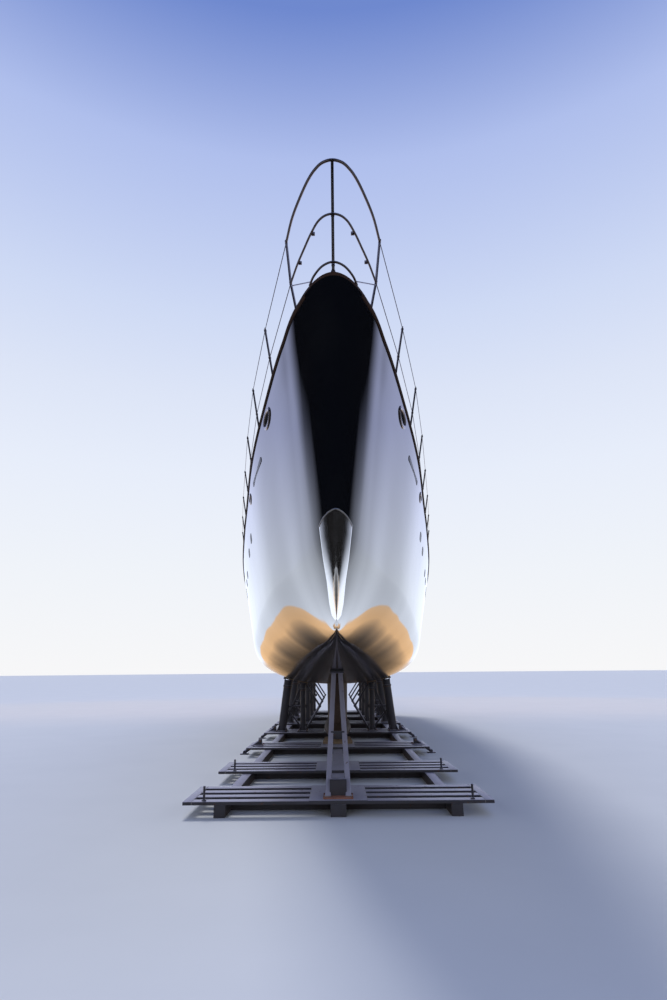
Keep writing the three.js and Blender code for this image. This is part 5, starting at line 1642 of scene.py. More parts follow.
def helmWheel(word, side):
    h = helm
    hub = Vector((side * h["x"], h["wheelY"], h["floor"] + h["hubUp"]))
    rim = Form()
    ring = [hub + Vector((h["wheel"] * math.cos(a), 0, h["wheel"] * math.sin(a)))
            for a in (2 * math.pi * k / 72 for k in range(72))]
    rim.tube(ring, h["rim"] - 0.001, rubber, 14, True)
    for k in range(h["spokes"]):
        angle = 2 * math.pi * k / h["spokes"] + math.pi / 2
        out = Vector((math.cos(angle), 0, math.sin(angle)))
        rim.rod(hub + out * (h["wheel"] - 0.03), hub + out * (h["wheel"] - 0.012), 0.013, steel, 14)
    turned = Matrix.Translation(hub) @ Matrix.Rotation(math.radians(90), 4, "X")
    rim.lathe([(0.024, -0.02), (0.058, -0.018), (0.06, -0.01), (0.06, 0.02), (0.052, 0.03), (0.024, 0.034),
               (0.024, 0.125)], steel, 32, turned)
    rim.lathe([(0.002, -0.036), (0.03, -0.034), (0.034, -0.026), (0.034, -0.018)], steel, 24, turned)
    rim.make("wheelRim_" + word, "wheel_" + word, "steering_wheel_" + word)
    spokes = Form()
    for k in range(h["spokes"]):
        angle = 2 * math.pi * k / h["spokes"] + math.pi / 2
        out = Vector((math.cos(angle), 0, math.sin(angle)))
        spokes.rod(hub + out * 0.05, hub + out * (h["wheel"] - 0.02), 0.016, carbon, 14, 0.009)
    spokes.make("wheelSpokes_" + word, "wheel_" + word)


def slatTree():
    made = Grower("slats", {"Count": "Int", "Pitch": "Float", "Length": "Float", "Width": "Float", "Height": "Float",
                            "Finish": "Material"})
    line = made.node("GeometryNodeMeshLine", None, {"Count": made.given("Count"), "Offset": made.node(
        "ShaderNodeCombineXYZ", None, {1: made.given("Pitch")})})
    slat = made.node("GeometryNodeMeshCube", None, {"Size": made.node("ShaderNodeCombineXYZ", None, {
        0: made.given("Length"), 1: made.given("Width"), 2: made.given("Height")})})
    row = made.node("GeometryNodeInstanceOnPoints", None, {"Points": line, "Instance": slat})
    made.end(made.node("GeometryNodeInstanceOnPoints", None, {"Points": made.given("Geometry"), "Instance": row}))
    return made


slats = slatTree()


def gratings():
    for word, side in (("port", 1), ("stbd", -1)):
        start = Vector((side * helm["x"], bowY + 28.86, helm["floor"] + 0.034))
        made = slats.grow("footGrating_" + word, [start], [], varnish, Count=16, Pitch=0.052, Length=0.9, Width=0.036,
                          Height=0.014)
        settle(made, varnish, "yacht")
        frame = Form()
        for x in (-0.4, 0.0, 0.4):
            frame.slab((start.x + x - 0.02, start.y - 0.03, helm["floor"] + 0.002), (start.x + x + 0.02, start.y + 0.81,
                       helm["floor"] + 0.028), varnish, 0.003)
        frame.make("gratingBearers_" + word, "yacht")


# Winches: ribbed drums with a self-tailing ring and a handle socket
winch = {"places": [("fwd_port", 2.345, 24.3), ("fwd_stbd", -2.345, 24.3), ("aft_port", 2.345, 25.6),
                    ("aft_stbd", -2.345, 25.6)], "z": 6.3303, "ribs": 28}


def winchDrum(word, x, s):
    form = Form()
    place = Matrix.Translation((x, bowY + s, winch["z"]))
    form.lathe([(0.115, 0.0), (0.115, 0.014), (0.11, 0.022), (0.1, 0.028), (0.09, 0.04), (0.08, 0.06), (0.077, 0.08),
                (0.076, 0.13), (0.079, 0.155), (0.09, 0.168), (0.104, 0.172), (0.106, 0.178), (0.098, 0.184), (0.086, 0.187)],
               steel, 40, place)
    form.lathe([(0.084, 0.186), (0.098, 0.194), (0.105, 0.2), (0.104, 0.206), (0.08, 0.212), (0.06, 0.226), (0.05, 0.24),
                (0.034, 0.247), (0.022, 0.248), (0.014, 0.247), (0.013, 0.23)], blackGlass, 40, place)
    form.make("winch_" + word, "yacht", "winch_" + word)
    ribs = Form()
    for k in range(winch["ribs"]):
        angle = 2 * math.pi * k / winch["ribs"]
        out = Vector((math.cos(angle), math.sin(angle), 0))
        foot = place.translation + out * 0.0775
        ribs.rod(foot + Vector((0, 0, 0.07)), foot + Vector((0, 0, 0.15)), 0.0028, steel, 6)
    ribs.make("winchRibs_" + word, "yacht")


for word, side in (("port", 1), ("stbd", -1)):
    coaming(word, side)
    helmConsole(word, side)
    helmWheel(word, side)
cockpitSoles()
benches()
cockpitTable()
gratings()
for place in winch["places"]:
    winchDrum(*place)
print("cockpit ready")


# Underwater: fin keel on a ballast bulb, spade rudder, shaft bracket and propeller
foilShares = [0, 0.004, 0.015, 0.035, 0.07, 0.12, 0.19, 0.27, 0.36, 0.46, 0.57, 0.68, 0.79, 0.9, 1]
fin = {"s0": 16.0, "root": 4.3, "tip": 3.7, "tipShift": 0.35, "thickness": 0.75, "top": 3.0, "bottom": 0.7}
bulb = {"s0": 15.5, "half": 0.47, "middle": 0.735, "tall": 0.285}
blade = {"s": 31.35, "chord": 1.15, "thickness": 0.17, "top": 2.42, "bottom": 0.7, "stock": 0.08, "stockTop": 3.3}
shaft = {"s0": 24.3, "z0": 2.48, "s1": 27.75, "z1": 1.69, "radius": 0.038}
screw = {"radius": 0.43, "length": 0.23, "blades": 4}


def foilRing(s0, chord, thickness, z):
    def half(u):
        if u < 0.3:
            return thickness / 2 * math.sqrt(max(0.0, 1 - (1 - u / 0.3) ** 2))
        return thickness / 2 * max(0.06, 1 - ((u - 0.3) / 0.7) ** 1.8)

    port = [(half(u), bowY + s0 + u * chord, z) for u in foilShares]
    return port + [(-x, y, z) for x, y, z in reversed(port[1:])]


def bulbShare(u):
    return math.sqrt(1 - (1 - u / 0.3) ** 2) if u < 0.3 else 1 - 0.9 * (max(0.0, u - 0.55) / 0.45) ** 1.655


def ballast():
    fins = Form()
    fins.skin([foilRing(fin["s0"] + fin["tipShift"] * (1 - t), fin["tip"] + (fin["root"] - fin["tip"]) * t,
                        fin["thickness"] * (0.9 + 0.1 * t), fin["bottom"] + (fin["top"] - fin["bottom"]) * t)
               for t in (0, 0.2, 0.4, 0.6, 0.8, 1)], bottomPaint)
    fins.make("finKeel", "yacht", "keel_fin", angle=50)
    form = Form()
    rings = []
    for k in range(49):
        u = 0.0015 + 0.9985 * (k / 48) ** 1.25
        share, ring = bulbShare(u), []
        drop = -bulb["tall"] * 0.87 * (1 - share)
        for j in range(36):
            angle = 2 * math.pi * j / 36
            up = max(math.sin(angle), -0.87) * bulb["tall"] * share
            ring.append((bulb["half"] * share * math.cos(angle), bowY + bulb["s0"] + u * 6.0, bulb["middle"] + up + drop))
        rings.append(ring)
    form.skin(rings, bottomPaint)
    form.make("ballastBulb", "yacht", "keel_bulb", angle=50)
    joint = Form()
    collar = foilRing(fin["s0"] + fin["tipShift"] - 0.03, fin["tip"] + 0.06, fin["thickness"] * 0.9 + 0.05, 0.985)
    joint.sweep([(x, y, 0.97 if abs(x) > 0.1 else 0.94) for x, y, z in collar], circle(0.018, 8), bottomPaint, True)
    joint.make("bulbFillet", "yacht")


def rudderBlade():
    form = Form()
    lead = -blade["chord"] * 0.28
    rings = []
    for t in (0, 0.04, 0.2, 0.4, 0.6, 0.8, 1):
        scale = 0.72 + 0.46 * t if t < 0.5 else 0.95 + 0.1 * (t - 0.5)
        scale *= 0.94 if t == 0 else 1
        rings.append([(x, y, z) for x, y, z in foilRing(blade["s"] + lead * scale, blade["chord"] * scale,
                      blade["thickness"] * scale, blade["bottom"] + (blade["top"] - blade["bottom"]) * t)])
    form.skin(rings, bottomPaint)
    y = bowY + blade["s"]
    form.rod((0, y, blade["top"] - 0.3), (0, y, blade["stockTop"]), blade["stock"], bronze, 32)
    form.make("rudderBlade", "rudder", "rudder", angle=50)


def propellerBlades():
    place = (Matrix.Translation((0, bowY + shaft["s1"], shaft["z1"]))
             @ Matrix.Rotation(math.atan2(shaft["z1"] - shaft["z0"], shaft["s1"] - shaft["s0"]), 4, "X"))
    lay = Matrix.Rotation(math.radians(-90), 4, "X")
    form = Form()
    length = math.hypot(shaft["s1"] - shaft["s0"], shaft["z1"] - shaft["z0"])
    form.rod(place @ Vector((0, -length, 0)), place @ Vector((0, -0.1, 0)), shaft["radius"], steel, 24)
    half = screw["length"] / 2
    form.lathe([(0.078, -half), (0.085, -half + 0.015), (0.083, 0.0), (0.072, 0.07), (0.05, 0.1), (0.02, half - 0.001),
                (0.001, half)], bronze, 32, place @ lay)
    for k in range(screw["blades"]):
        rings = []
        for t in (0.0, 0.12, 0.3, 0.5, 0.7, 0.85, 0.95, 1.0):
            r = 0.06 + (screw["radius"] - 0.062) * t
            chord = 0.035 + 0.205 * math.sin(math.pi * (0.12 + 0.8 * t)) ** 0.8 * (1 if t < 1 else 0.55)
            pitch = math.radians(72 - 26 * t)
            thick = 0.013 * (1 - 0.75 * t) + 0.001
            ring = []
            for j in range(14):
                angle = 2 * math.pi * j / 14
                u, v = chord / 2 * math.cos(angle), thick * math.sin(angle) * (1 - 0.4 * math.cos(angle))
                ring.append((u * math.cos(pitch) + v * math.sin(pitch), u * math.sin(pitch) - v * math.cos(pitch), r))
            rings.append([place @ Matrix.Rotation(math.radians(90) * k, 4, "Y") @ Vector(p) for p in ring])
        form.skin(rings, bronze)
    form.make("propellerBlades", "propeller", "propeller", angle=45)


def shaftBracket():
    form = Form()
    ahead = Vector((0, shaft["s1"] - shaft["s0"], shaft["z1"] - shaft["z0"])).normalized()
    centre = Vector((0, bowY + 27.25, shaft["z0"] + (27.25 - shaft["s0"]) * ahead.z / ahead.y))
    for sign in (1, -1):
        rings = [[centre + ahead * along + turned * size for turned in
                  (Vector((math.cos(a), math.sin(a) * -ahead.z, math.sin(a) * ahead.y)) for a in
                   (2 * math.pi * k / 32 for k in range(32)))]
                 for along, size in ((0.0, 0.075), (sign * 0.1, 0.074), (sign * 0.124, 0.066), (sign * 0.13, 0.056),
                                     (sign * 0.13, 0.0395), (0.0, 0.0395))]
        form.skin(rings, bronze, False, False)
    top = undersideZ(27.25, 0.0)
    form.skin([foilRing(27.25 - 0.065, 0.13, 0.04, z) for z in (centre.z + 0.05, centre.z + 0.2, top + 0.02)], bronze)
    form.skin([foilRing(27.25 - w, 2 * w, 0.05 + w * 0.5, z) for w, z in ((0.07, top - 0.05), (0.1, top - 0.012),
                                                                          (0.12, top + 0.01))], bronze)
    form.make("strutBracket", "yacht", "shaft_bracket", angle=45)


ballast()
rudderBlade()
propellerBlades()
shaftBracket()

# Cradle of welded steel: three beams, seven bays of plate with posts, braces, caps and pads
beams = {"top": 0.22, "spineHalf": 0.15, "side": 2.25, "sideHalf": 0.11, "s0": 7.0, "s1": 34.25, "joint": 5.45}
bay = {"half": 2.96, "depth": 1.6, "low": 0.2203, "top": 0.28, "end": 0.17, "bar": 0.244, "bars": 4, "plateHalf": 0.555,
       "starts": [7.0, 10.6, 15.3, 20.2, 24.5, 28.5, 32.49], "tie": (0.1503, 2.1397, 0.14, 0.245), "weld": 0.009,
       "plateTop": 0.286}
post = {"outerFoot": 2.3, "outerHead": 2.03, "outer": 0.168, "innerX": 1.43, "inner": 0.112, "cap": 0.215,
        "capDrop": 0.09, "plateHalf": 0.23, "plateReach": 0.38, "plateTop": 0.3, "boltInset": 0.05}
brace = {"radius": 0.038, "waistX": 0.727, "waistZ": 1.24, "headZ": 2.3, "footInset": 0.1}
pin = {"x": 2.57, "radius": 0.022, "top": 0.545, "setBack": 0.09}
outrigger = {"x": 2.6, "top": 0.41, "outerX": 3.12, "radius": 0.055, "lug": 0.06, "pad": 0.13}


def weldLine(form, points, closed=False, size=None):
    form.tube(points, size or bay["weld"], weldSteel, 6, closed)


def longBeams():
    for name, x, half in (("cradle_spine", 0.0, beams["spineHalf"]), ("cradle_beam_port", beams["side"], beams["sideHalf"]),
                          ("cradle_beam_stbd", -beams["side"], beams["sideHalf"])):
        form = Form()
        y0, y1 = bowY + beams["s0"], bowY + beams["s1"]
        form.slab((x - half, y0, 0.0), (x + half, y1, beams["top"]), cradlePaint, 0.008)
        joints = int((y1 - y0) / beams["joint"])
        for k in range(1, joints + 1):
            y = y0 + k * beams["joint"] - 1.1
            for side in (1, -1):
                low = x + side * (half - 0.002)
                form.slab((min(low, low + side * 0.012), y - 0.2, 0.03), (max(low, low + side * 0.012), y + 0.2, 0.19),
                          cradlePaint, 0.002)
            weldLine(form, [(x - half, y, 0.217), (x + half, y, 0.217)], size=0.006)
        lightTopsAndDust(form.make(name.replace("cradle_", "long_"), "yacht", name))


# Pad cap that lies square to the hull's underside above a post
def capPlace(x, s):
    reach = 0.2
    low, high = undersideZ(s, abs(x) - reach), undersideZ(s, abs(x) + reach)
    slope = math.atan2(high - low, 2 * reach) * (1 if x > 0 else -1)
    centre = Vector((x, bowY + s, (low + high) / 2))
    return Matrix.Translation(centre) @ Matrix.Rotation(-slope, 4, "Y")


def gussets(form, foot, radius, height, reach):
    for k in range(4):
        angle = math.pi / 4 + math.pi / 2 * k
        out, across = Vector((math.cos(angle), math.sin(angle), 0)), Vector((-math.sin(angle), math.cos(angle), 0))
        corners = [foot + out * (radius - 0.01), foot + out * (radius + reach), foot + out * (radius + reach) + Vector((0, 0, 0.03)),
                   foot + out * (radius + 0.012) + Vector((0, 0, height)), foot + out * (radius - 0.01) + Vector((0, 0, height))]
        form.skin([[corner + across * side for corner in corners] for side in (-0.007, 0.007)], cradlePaint)


# Arm from a lug on the end of a bay down to a pad on the floor
def outriggerArm(form, side, y, places):
    x, top, lug, pad = side * outrigger["x"], bay["top"], outrigger["lug"], outrigger["pad"]
    ends = sorted((x - side * 0.13, side * (bay["half"] - 0.075)))
    form.slab((ends[0], y - 0.19, top - 0.015), (ends[1], y + 0.19, top + 0.014), cradlePaint, 0.003)
    form.slab((x - lug, y - 0.03, top + 0.01), (x + lug, y + 0.03, outrigger["top"] + 0.06), cradlePaint, 0.01)
    for edge in (-1, 1):
        form.slab((x - lug * 0.9, y + edge * 0.042 - 0.01, top + 0.01), (x + lug * 0.9, y + edge * 0.042 + 0.01,
                                                                         outrigger["top"] + 0.05), cradlePaint, 0.006)
        places.append(((x - side * 0.1, y + edge * 0.15, top + 0.014), (0, 0, 1)))
    head, foot = Vector((x, y, outrigger["top"])), Vector((side * outrigger["outerX"], y, 0.065))
    form.rod(head - Vector((0, 0.068, 0)), head + Vector((0, 0.068, 0)), 0.024, rustSteel, 20, soft=0.004)
    form.rod(head, foot, outrigger["radius"], cradlePaint, 24)
    form.rod(foot - Vector((0, 0.06, 0)), foot + Vector((0, 0.06, 0)), 0.05, cradlePaint, 20, soft=0.006)
    form.slab((foot.x - pad, y - pad, 0.0), (foot.x + pad, y + pad, 0.03), cradlePaint, 0.004)
    form.slab((foot.x - 0.055, y - 0.075, 0.028), (foot.x + 0.055, y + 0.075, 0.05), cradlePaint, 0.004)


def cradleBay(number, start):
    form, pads, places = Form(), Form(), []
    y0 = bowY + start
    middle = y0 + bay["depth"] / 2
    half, low, top = bay["half"], bay["low"], bay["top"]
    pitch = (bay["depth"] - bay["bar"]) / (bay["bars"] - 1)
    for k in range(bay["bars"]):
        y = y0 + k * pitch
        inner = half - bay["end"] + 0.002
        form.slab((-inner, y, low), (inner, y + bay["bar"], top), cradlePaint, 0.006)
        for side in (1, -1):
            for edge in (y + 0.004, y + bay["bar"] - 0.004):
                weldLine(form, [(side * (inner - 0.004), edge, low + 0.01), (side * (inner - 0.004), edge, top - 0.002)])
            weldLine(form, [(side * (inner - 0.002), y + 0.01, top - 0.003), (side * (inner - 0.002), y + bay["bar"] - 0.01,
                                                                             top - 0.003)], size=0.007)
    for side in (1, -1):
        x0, x1 = sorted((side * half, side * (half - bay["end"])))
        form.slab((x0, y0, low), (x1, y0 + bay["depth"], top), cradlePaint, 0.006)
        tie = bay["tie"]
        x0, x1 = sorted((side * tie[0], side * tie[1]))
        form.slab((x0, middle - tie[2], 0.0), (x1, middle + tie[2], tie[3]), cradlePaint, 0.006)
    form.slab((-bay["plateHalf"], y0 + 0.001, top - 0.03), (bay["plateHalf"], y0 + bay["depth"] - 0.001, bay["plateTop"]),
              cradlePaint, 0.003)
    for side in (1, -1):
        weldLine(form, [(side * (bay["plateHalf"] + 0.002), y, top) for y in (y0 + 0.02, y0 + bay["depth"] - 0.02)], size=0.006)
    s = start + bay["depth"] / 2
    for side in (1, -1):
        if number > 2:
            outriggerArm(form, side, middle, places)
        for x in [post["outerFoot"], post["innerX"]] if number > 3 else []:
            form.slab((side * x - post["plateHalf"], middle - post["plateReach"], top - 0.01),
                      (side * x + post["plateHalf"], middle + post["plateReach"], post["plateTop"]), cradlePaint, 0.004)
            for u in (-1, 1):
                for v in (-1, 0, 1):
                    places.append(((side * x + u * (post["plateHalf"] - post["boltInset"]),
                                    middle + v * (post["plateReach"] - post["boltInset"]), post["plateTop"]), (0, 0, 1)))
        foot = post["plateTop"] - 0.004
        if number < 3:
            base = Vector((side * pin["x"], y0 + pin["setBack"], top - 0.004))
            form.rod(base, base + Vector((0, 0, pin["top"] - base.z)), pin["radius"], cradlePaint, 24, soft=0.006)
            form.rod(base, base + Vector((0, 0, 0.03)), pin["radius"] + 0.02, cradlePaint, 24, soft=0.004)
            weldLine(form, [base + Vector(((pin["radius"] + 0.02) * u, (pin["radius"] + 0.02) * v, 0.005))
                            for u, v in circle(1.0, 24)], True, 0.006)
        if number < 4:
            continue
        outerPlace = capPlace(side * post["outerHead"], s)
        innerPlace = capPlace(side * post["innerX"], s)
        outerHead = outerPlace @ Vector((0, 0, -post["capDrop"] - 0.02))
        innerHead = innerPlace @ Vector((0, 0, -post["capDrop"] - 0.02))
        outerFoot = Vector((side * post["outerFoot"], middle, foot))
        innerFoot = Vector((side * post["innerX"], middle, foot))
        outerHead.y = innerHead.y = middle
        for base, head, radius in ((outerFoot, outerHead, post["outer"]), (innerFoot, innerHead, post["inner"])):
            ahead = (head - base).normalized()
            form.rod(base, head, radius, cradlePaint, 32)
            sleeve = base.lerp(head, 0.86)
            form.rod(sleeve, sleeve + ahead * 0.07, radius + 0.018, cradlePaint, 32, soft=0.006)
            form.rod(sleeve - ahead * 0.012, sleeve, radius + 0.006, rustSteel, 32)
            weldLine(form, [base + Vector((radius * math.cos(a), radius * math.sin(a), 0.006))
                            for a in (2 * math.pi * k / 28 for k in range(28))], True, 0.012)
            gussets(form, base, radius, 0.2, 0.1)
        for place in (outerPlace, innerPlace):
            size = post["cap"]
            turned = place @ Matrix.Translation((0, 0, -post["capDrop"]))
            form.prism(roundedBox(size, size, 0.02), 0.0, 0.022, cradlePaint, 0.004, turned)
            for u in (-1, 1):
                rib = [(u * 0.14 - 0.008, -0.17), (u * 0.14 + 0.008, -0.17), (u * 0.14 + 0.008, 0.17), (u * 0.14 - 0.008, 0.17)]
                form.prism(rib, -0.07, 0.002, cradlePaint, 0.0, turned)
            pads.prism(roundedBox(size - 0.02, size - 0.02, 0.015), 0.022, 0.062, timber, 0.005, turned)
            pads.prism(roundedBox(size - 0.03, size - 0.03, 0.02), 0.062, post["capDrop"] + 0.006, rubber, 0.008, turned)
            for u in (-1, 1):
                for v in (-1, 1):
                    places.append((turned @ Vector((u * 0.18, v * 0.18, 0.0)), -(turned.to_3x3() @ Vector((0, 0, 1)))))
        waist = Vector((side * brace["waistX"], middle, brace["waistZ"]))
        lean = outerFoot.lerp(outerHead, (brace["waistZ"] - foot) / (outerHead.z - foot))
        for a, b in (((side * post["innerX"], middle, brace["headZ"]), waist),
                     (waist, (side * (post["innerX"] - brace["footInset"]), middle, foot)),
                     ((side * post["innerX"], middle, brace["waistZ"]), lean),
                     ((side * post["innerX"], middle, foot + 0.04), lean),
                     ((side * post["innerX"], middle, brace["headZ"]), outerFoot + Vector((side * -0.05, 0, 0.06)))):
            form.rod(a, b, brace["radius"], cradlePaint, 20)
        form.rod(waist - Vector((0, 0.05, 0)), waist + Vector((0, 0.05, 0)), 0.052, cradlePaint, 20, soft=0.006)
        for level in (brace["headZ"], brace["waistZ"]):
            for u in (-1, 1):
                centre = Vector((side * (post["innerX"] + u * (post["inner"] + 0.02)), middle, level))
                if u * side < 0 or level == brace["waistZ"]:
                    form.slab(centre - Vector((0.05, 0.007, 0.07)), centre + Vector((0.05, 0.007, 0.07)), cradlePaint, 0.002)
    lightTopsAndDust(form.make(f"bayFrame_{number}", "yacht", f"cradle_bay_{number}"))
    if number > 3:
        pads.make(f"bayPads_{number}", "yacht")
    if places:
        growBolts(f"bayBolts_{number}", "yacht", places, rustSteel, 0.018, 0.024)


shore = {"footS": 7.32, "headS": 9.6, "footHalf": 0.202, "headHalf": 0.062, "leg": 0.054, "plateHalf": 0.29,
         "floor": 0.2863, "headUp": 0.25}


def bowShore():
    form, places = Form(), []
    floor = shore["floor"]
    headZ = tableValue("keel", shore["headS"]) + shore["headUp"]
    y = bowY + shore["footS"]

    def rake(z, x=None):
        t = (z - floor) / (headZ - floor)
        across = shore["footHalf"] + (shore["headHalf"] - shore["footHalf"]) * t
        return Vector((across if x is None else x, y + (shore["headS"] - shore["footS"]) * t, z))

    reach = undersideZ(shore["headS"] - 0.35, 0.1) - 0.06
    for side in (1, -1):
        section = roundedBox(shore["leg"], shore["leg"], 0.012, 3)
        rings = []
        for z in (floor + 0.02, reach):
            at = rake(z)
            rings.append([(side * at.x + u, at.y + v, z) for u, v in section])
        form.skin(rings, cradlePaint)
        weldLine(form, [(side * rake(floor).x + u, y + v, floor + 0.028) for u, v in
                        roundedBox(shore["leg"] + 0.004, shore["leg"] + 0.004, 0.012, 3)], True, 0.01)
    form.slab((-shore["plateHalf"], y - 0.2, floor), (shore["plateHalf"], y + 0.22, floor + 0.024), primer, 0.004)
    for u in (-0.273, 0.273):
        for v in (-0.15, 0.17):
            places.append(((u, y + v, floor + 0.024), (0, 0, 1)))
    at = rake(1.33)
    form.slab((-at.x, at.y - 0.012, 1.25), (at.x, at.y + 0.012, 1.41), cradlePaint, 0.003)
    form.slab((-0.165, y + 0.02, floor + 0.02), (0.165, y + 0.036, 0.6), cradlePaint, 0.003)
    form.slab((-0.165, y + 0.02, 0.585), (0.165, y + 0.18, 0.6), cradlePaint, 0.003)
    for side in (1, -1):
        for z in (1.29, 1.37):
            at = rake(z)
            places.append(((side * (at.x - 0.02), at.y - 0.012, z), (0, -1, 0)))
    # a shoe with a rubber face takes the stem's foot
    head = rake(reach)
    turned = Matrix.Translation((0, head.y + 0.02, reach)) @ Matrix.Rotation(math.atan2(
        undersideZ(shore["headS"] + 0.1, 0.02) - undersideZ(shore["headS"] - 0.5, 0.02), 0.6), 4, "X")
    form.prism(roundedBox(0.17, 0.24, 0.02), -0.01, 0.014, cradlePaint, 0.004, turned)
    form.prism(roundedBox(0.16, 0.23, 0.02), 0.014, 0.07, rubber, 0.008, turned)
    lightTopsAndDust(form.make("bowShoreFrame", "yacht", "bow_shore"))
    growBolts("bowShoreBolts", "yacht", places, rustSteel, 0.014, 0.018)


def keelBlocks():
    for word, s in (("fwd", 16.4), ("aft", 20.9)):
        form = Form()
        y, share = bowY + s, bulbShare((s - bulb["s0"]) / 6.0)
        top = bulb["middle"] - bulb["tall"] * (0.87 * share + 0.87 * (1 - share)) - 0.001
        level = bay["plateTop"] + 0.0005
        rows = 2
        step = (top - 0.03 - level) / rows
        for k in range(rows):
            for j in range(2 if k == 0 else 3):
                if k == 0:
                    form.slab((-0.5, y - 0.208 + j * 0.212, level + 0.001), (0.5, y - 0.008 + j * 0.212 + 0.004, level + step),
                              timber, 0.006)
                else:
                    form.slab((-0.46 + j * 0.31, y - 0.2, level + step + 0.001), (-0.16 + j * 0.31, y + 0.2,
                              level + 2 * step), timber, 0.006)
        form.slab((-0.42, y - 0.18, top - 0.03), (0.42, y + 0.18, top), timber, 0.004)
        form.make("keelBlock_" + word, "yacht", "keel_block_" + word)


longBeams()
for number, start in enumerate(bay["starts"], 1):
    cradleBay(number, start)
bowShore()
keelBlocks()
print("cradle ready")


# Sofas on both sides of the saloon
def saloonSofas():
    for word, side in (("port", 1), ("stbd", -1)):
        base, edging = Form(), Form()
        x0, x1 = sorted((side * 0.97, side * 1.85))
        y0, y1 = bowY + 17.2, bowY + 20.9
        base.slab((x0, y0, 4.7503), (x1, y1, 5.05), varnish, 0.012)
        x0, x1 = sorted((side * 1.76, side * 1.85))
        base.slab((x0, y0, 5.05), (x1, y1, 5.5), varnish, 0.012)
        base.make("sofaBase_" + word, "yacht", "saloon_sofa_" + word)
        for k in range(4):
            y = y0 + 0.925 * (k + 0.5)
            seat = Matrix.Translation((side * 1.285, y, 5.115))
            cushion(f"sofaSeat_{word}_{k + 1}", seat, 0.915, 0.66, 0.13)
            piping(edging, seat, 0.915, 0.66, 0.13)
            back = Matrix.Translation((side * 1.695, y, 5.39)) @ Matrix.Rotation(side * math.radians(82), 4, "Y")
            cushion(f"sofaBack_{word}_{k + 1}", back, 0.915, 0.38, 0.12)
            piping(edging, back, 0.915, 0.38, 0.12)
        edging.make("sofaPiping_" + word, "yacht")


# Flush hatch lids: a dark pane in a rubber frame with handles below, and a planked locker lid in a steel frame
def hatchLid(word, body, node):
    s0, s1, half = lids[word]
    top = lidTop(lids[word])
    y0, y1 = bowY + s0, bowY + s1
    form = Form()
    outline = [(x, (y0 + y1) / 2 + y) for x, y in roundedBox(half, (y1 - y0) / 2, 0.03, 5)]
    pane = [(x, (y0 + y1) / 2 + y) for x, y in roundedBox(half - 0.035, (y1 - y0) / 2 - 0.035, 0.02, 5)]
    planked = word == "anchor"
    form.prism(outline, top - 0.06, top - 0.004, steel if planked else rubber, 0.003)
    form.prism(pane, top - 0.03, top, laidTeak if planked else blackGlass, 0.002)
    for x in (-half * 0.6, half * 0.6):
        form.slab((x - 0.035, y0 + 0.002, top - 0.052), (x + 0.035, y0 + 0.05, top - 0.001), steel, 0.003)
        form.slab((x - 0.012, y1 - 0.12, top - 0.075), (x + 0.012, y1 - 0.08, top - 0.06), steel, 0.002)
        form.rod((x, y1 - 0.1, top - 0.0745), (x + (0.07 if x < 0 else -0.07), y1 - 0.1, top - 0.073), 0.006, steel, 12)
    form.rod((0, y1 - 0.12, top - 0.004), (0, y1 - 0.12, top + 0.002), 0.028, steel, 28)
    form.tube([(0.02 * math.cos(a), y1 - 0.12 + 0.02 * math.sin(a), top + 0.003) for a in
               (2 * math.pi * k / 20 for k in range(20))], 0.0032, blackGlass, 8, True)
    form.make(word + "Lid", body, node)


# Mooring cleat, its horns on two feet above a plate
def cleat(form, place, size):
    form.prism(roundedBox(size * 0.16, size * 0.42, size * 0.1), 0.0, 0.008, steel, 0.003, place)
    for v in (-1, 1):
        low, high = place @ Vector((0, v * size * 0.17, 0.0)), place @ Vector((0, v * size * 0.15, 0.05))
        form.rod(low, high, 0.02, steel, 16, 0.014)
    horn = [place @ Vector((0, v * size * 0.5, z)) for v, z in ((-1, 0.066), (-0.7, 0.062), (-0.3, 0.054), (0.3, 0.054),
                                                              (0.7, 0.062), (1, 0.066))]
    form.tube(smoothPath(horn, 4), 0.014, steel, 14)
    for v in (-1, 1):
        tip = place @ Vector((0, v * size * 0.5, 0.066))
        form.rod(tip, tip + (place.to_3x3() @ Vector((0, v * 0.016, 0.001))), 0.014, steel, 14, 0.005)


def deckPlace(s, x, lift=0.0):
    step = 0.15
    across = Vector((step, 0, deckZ(s, abs(x) + step) - deckZ(s, abs(x)))) if x >= 0 else Vector(
        (step, 0, deckZ(s, abs(x)) - deckZ(s, abs(x) + step)))
    along = Vector((0, 2 * step, deckZ(s + step, abs(x)) - deckZ(s - step, abs(x))))
    up = across.cross(along).normalized()
    across = along.cross(up).normalized()
    turn = Matrix((across, up.cross(across), up)).transposed().to_4x4()
    return Matrix.Translation((x, bowY + s, deckZ(s, abs(x)) + deckTop + lift)) @ turn


deckTop = 0.0145
gear = {"cleats": [(1.6, 0.36), (12.0, 2.62), (33.8, 3.0)], "trackS": (15.2, 20.4), "trackX": 2.72,
        "chainS": (12.85, 13.4, 13.95), "vents": [(5.2, 0.55), (9.0, 0.85), (11.4, 1.1)],
        "fillers": [(27.4, 3.1), (27.7, 3.1), (28.0, 3.1)], "sheets": [(31.4, 1.2), (31.4, 2.2)]}


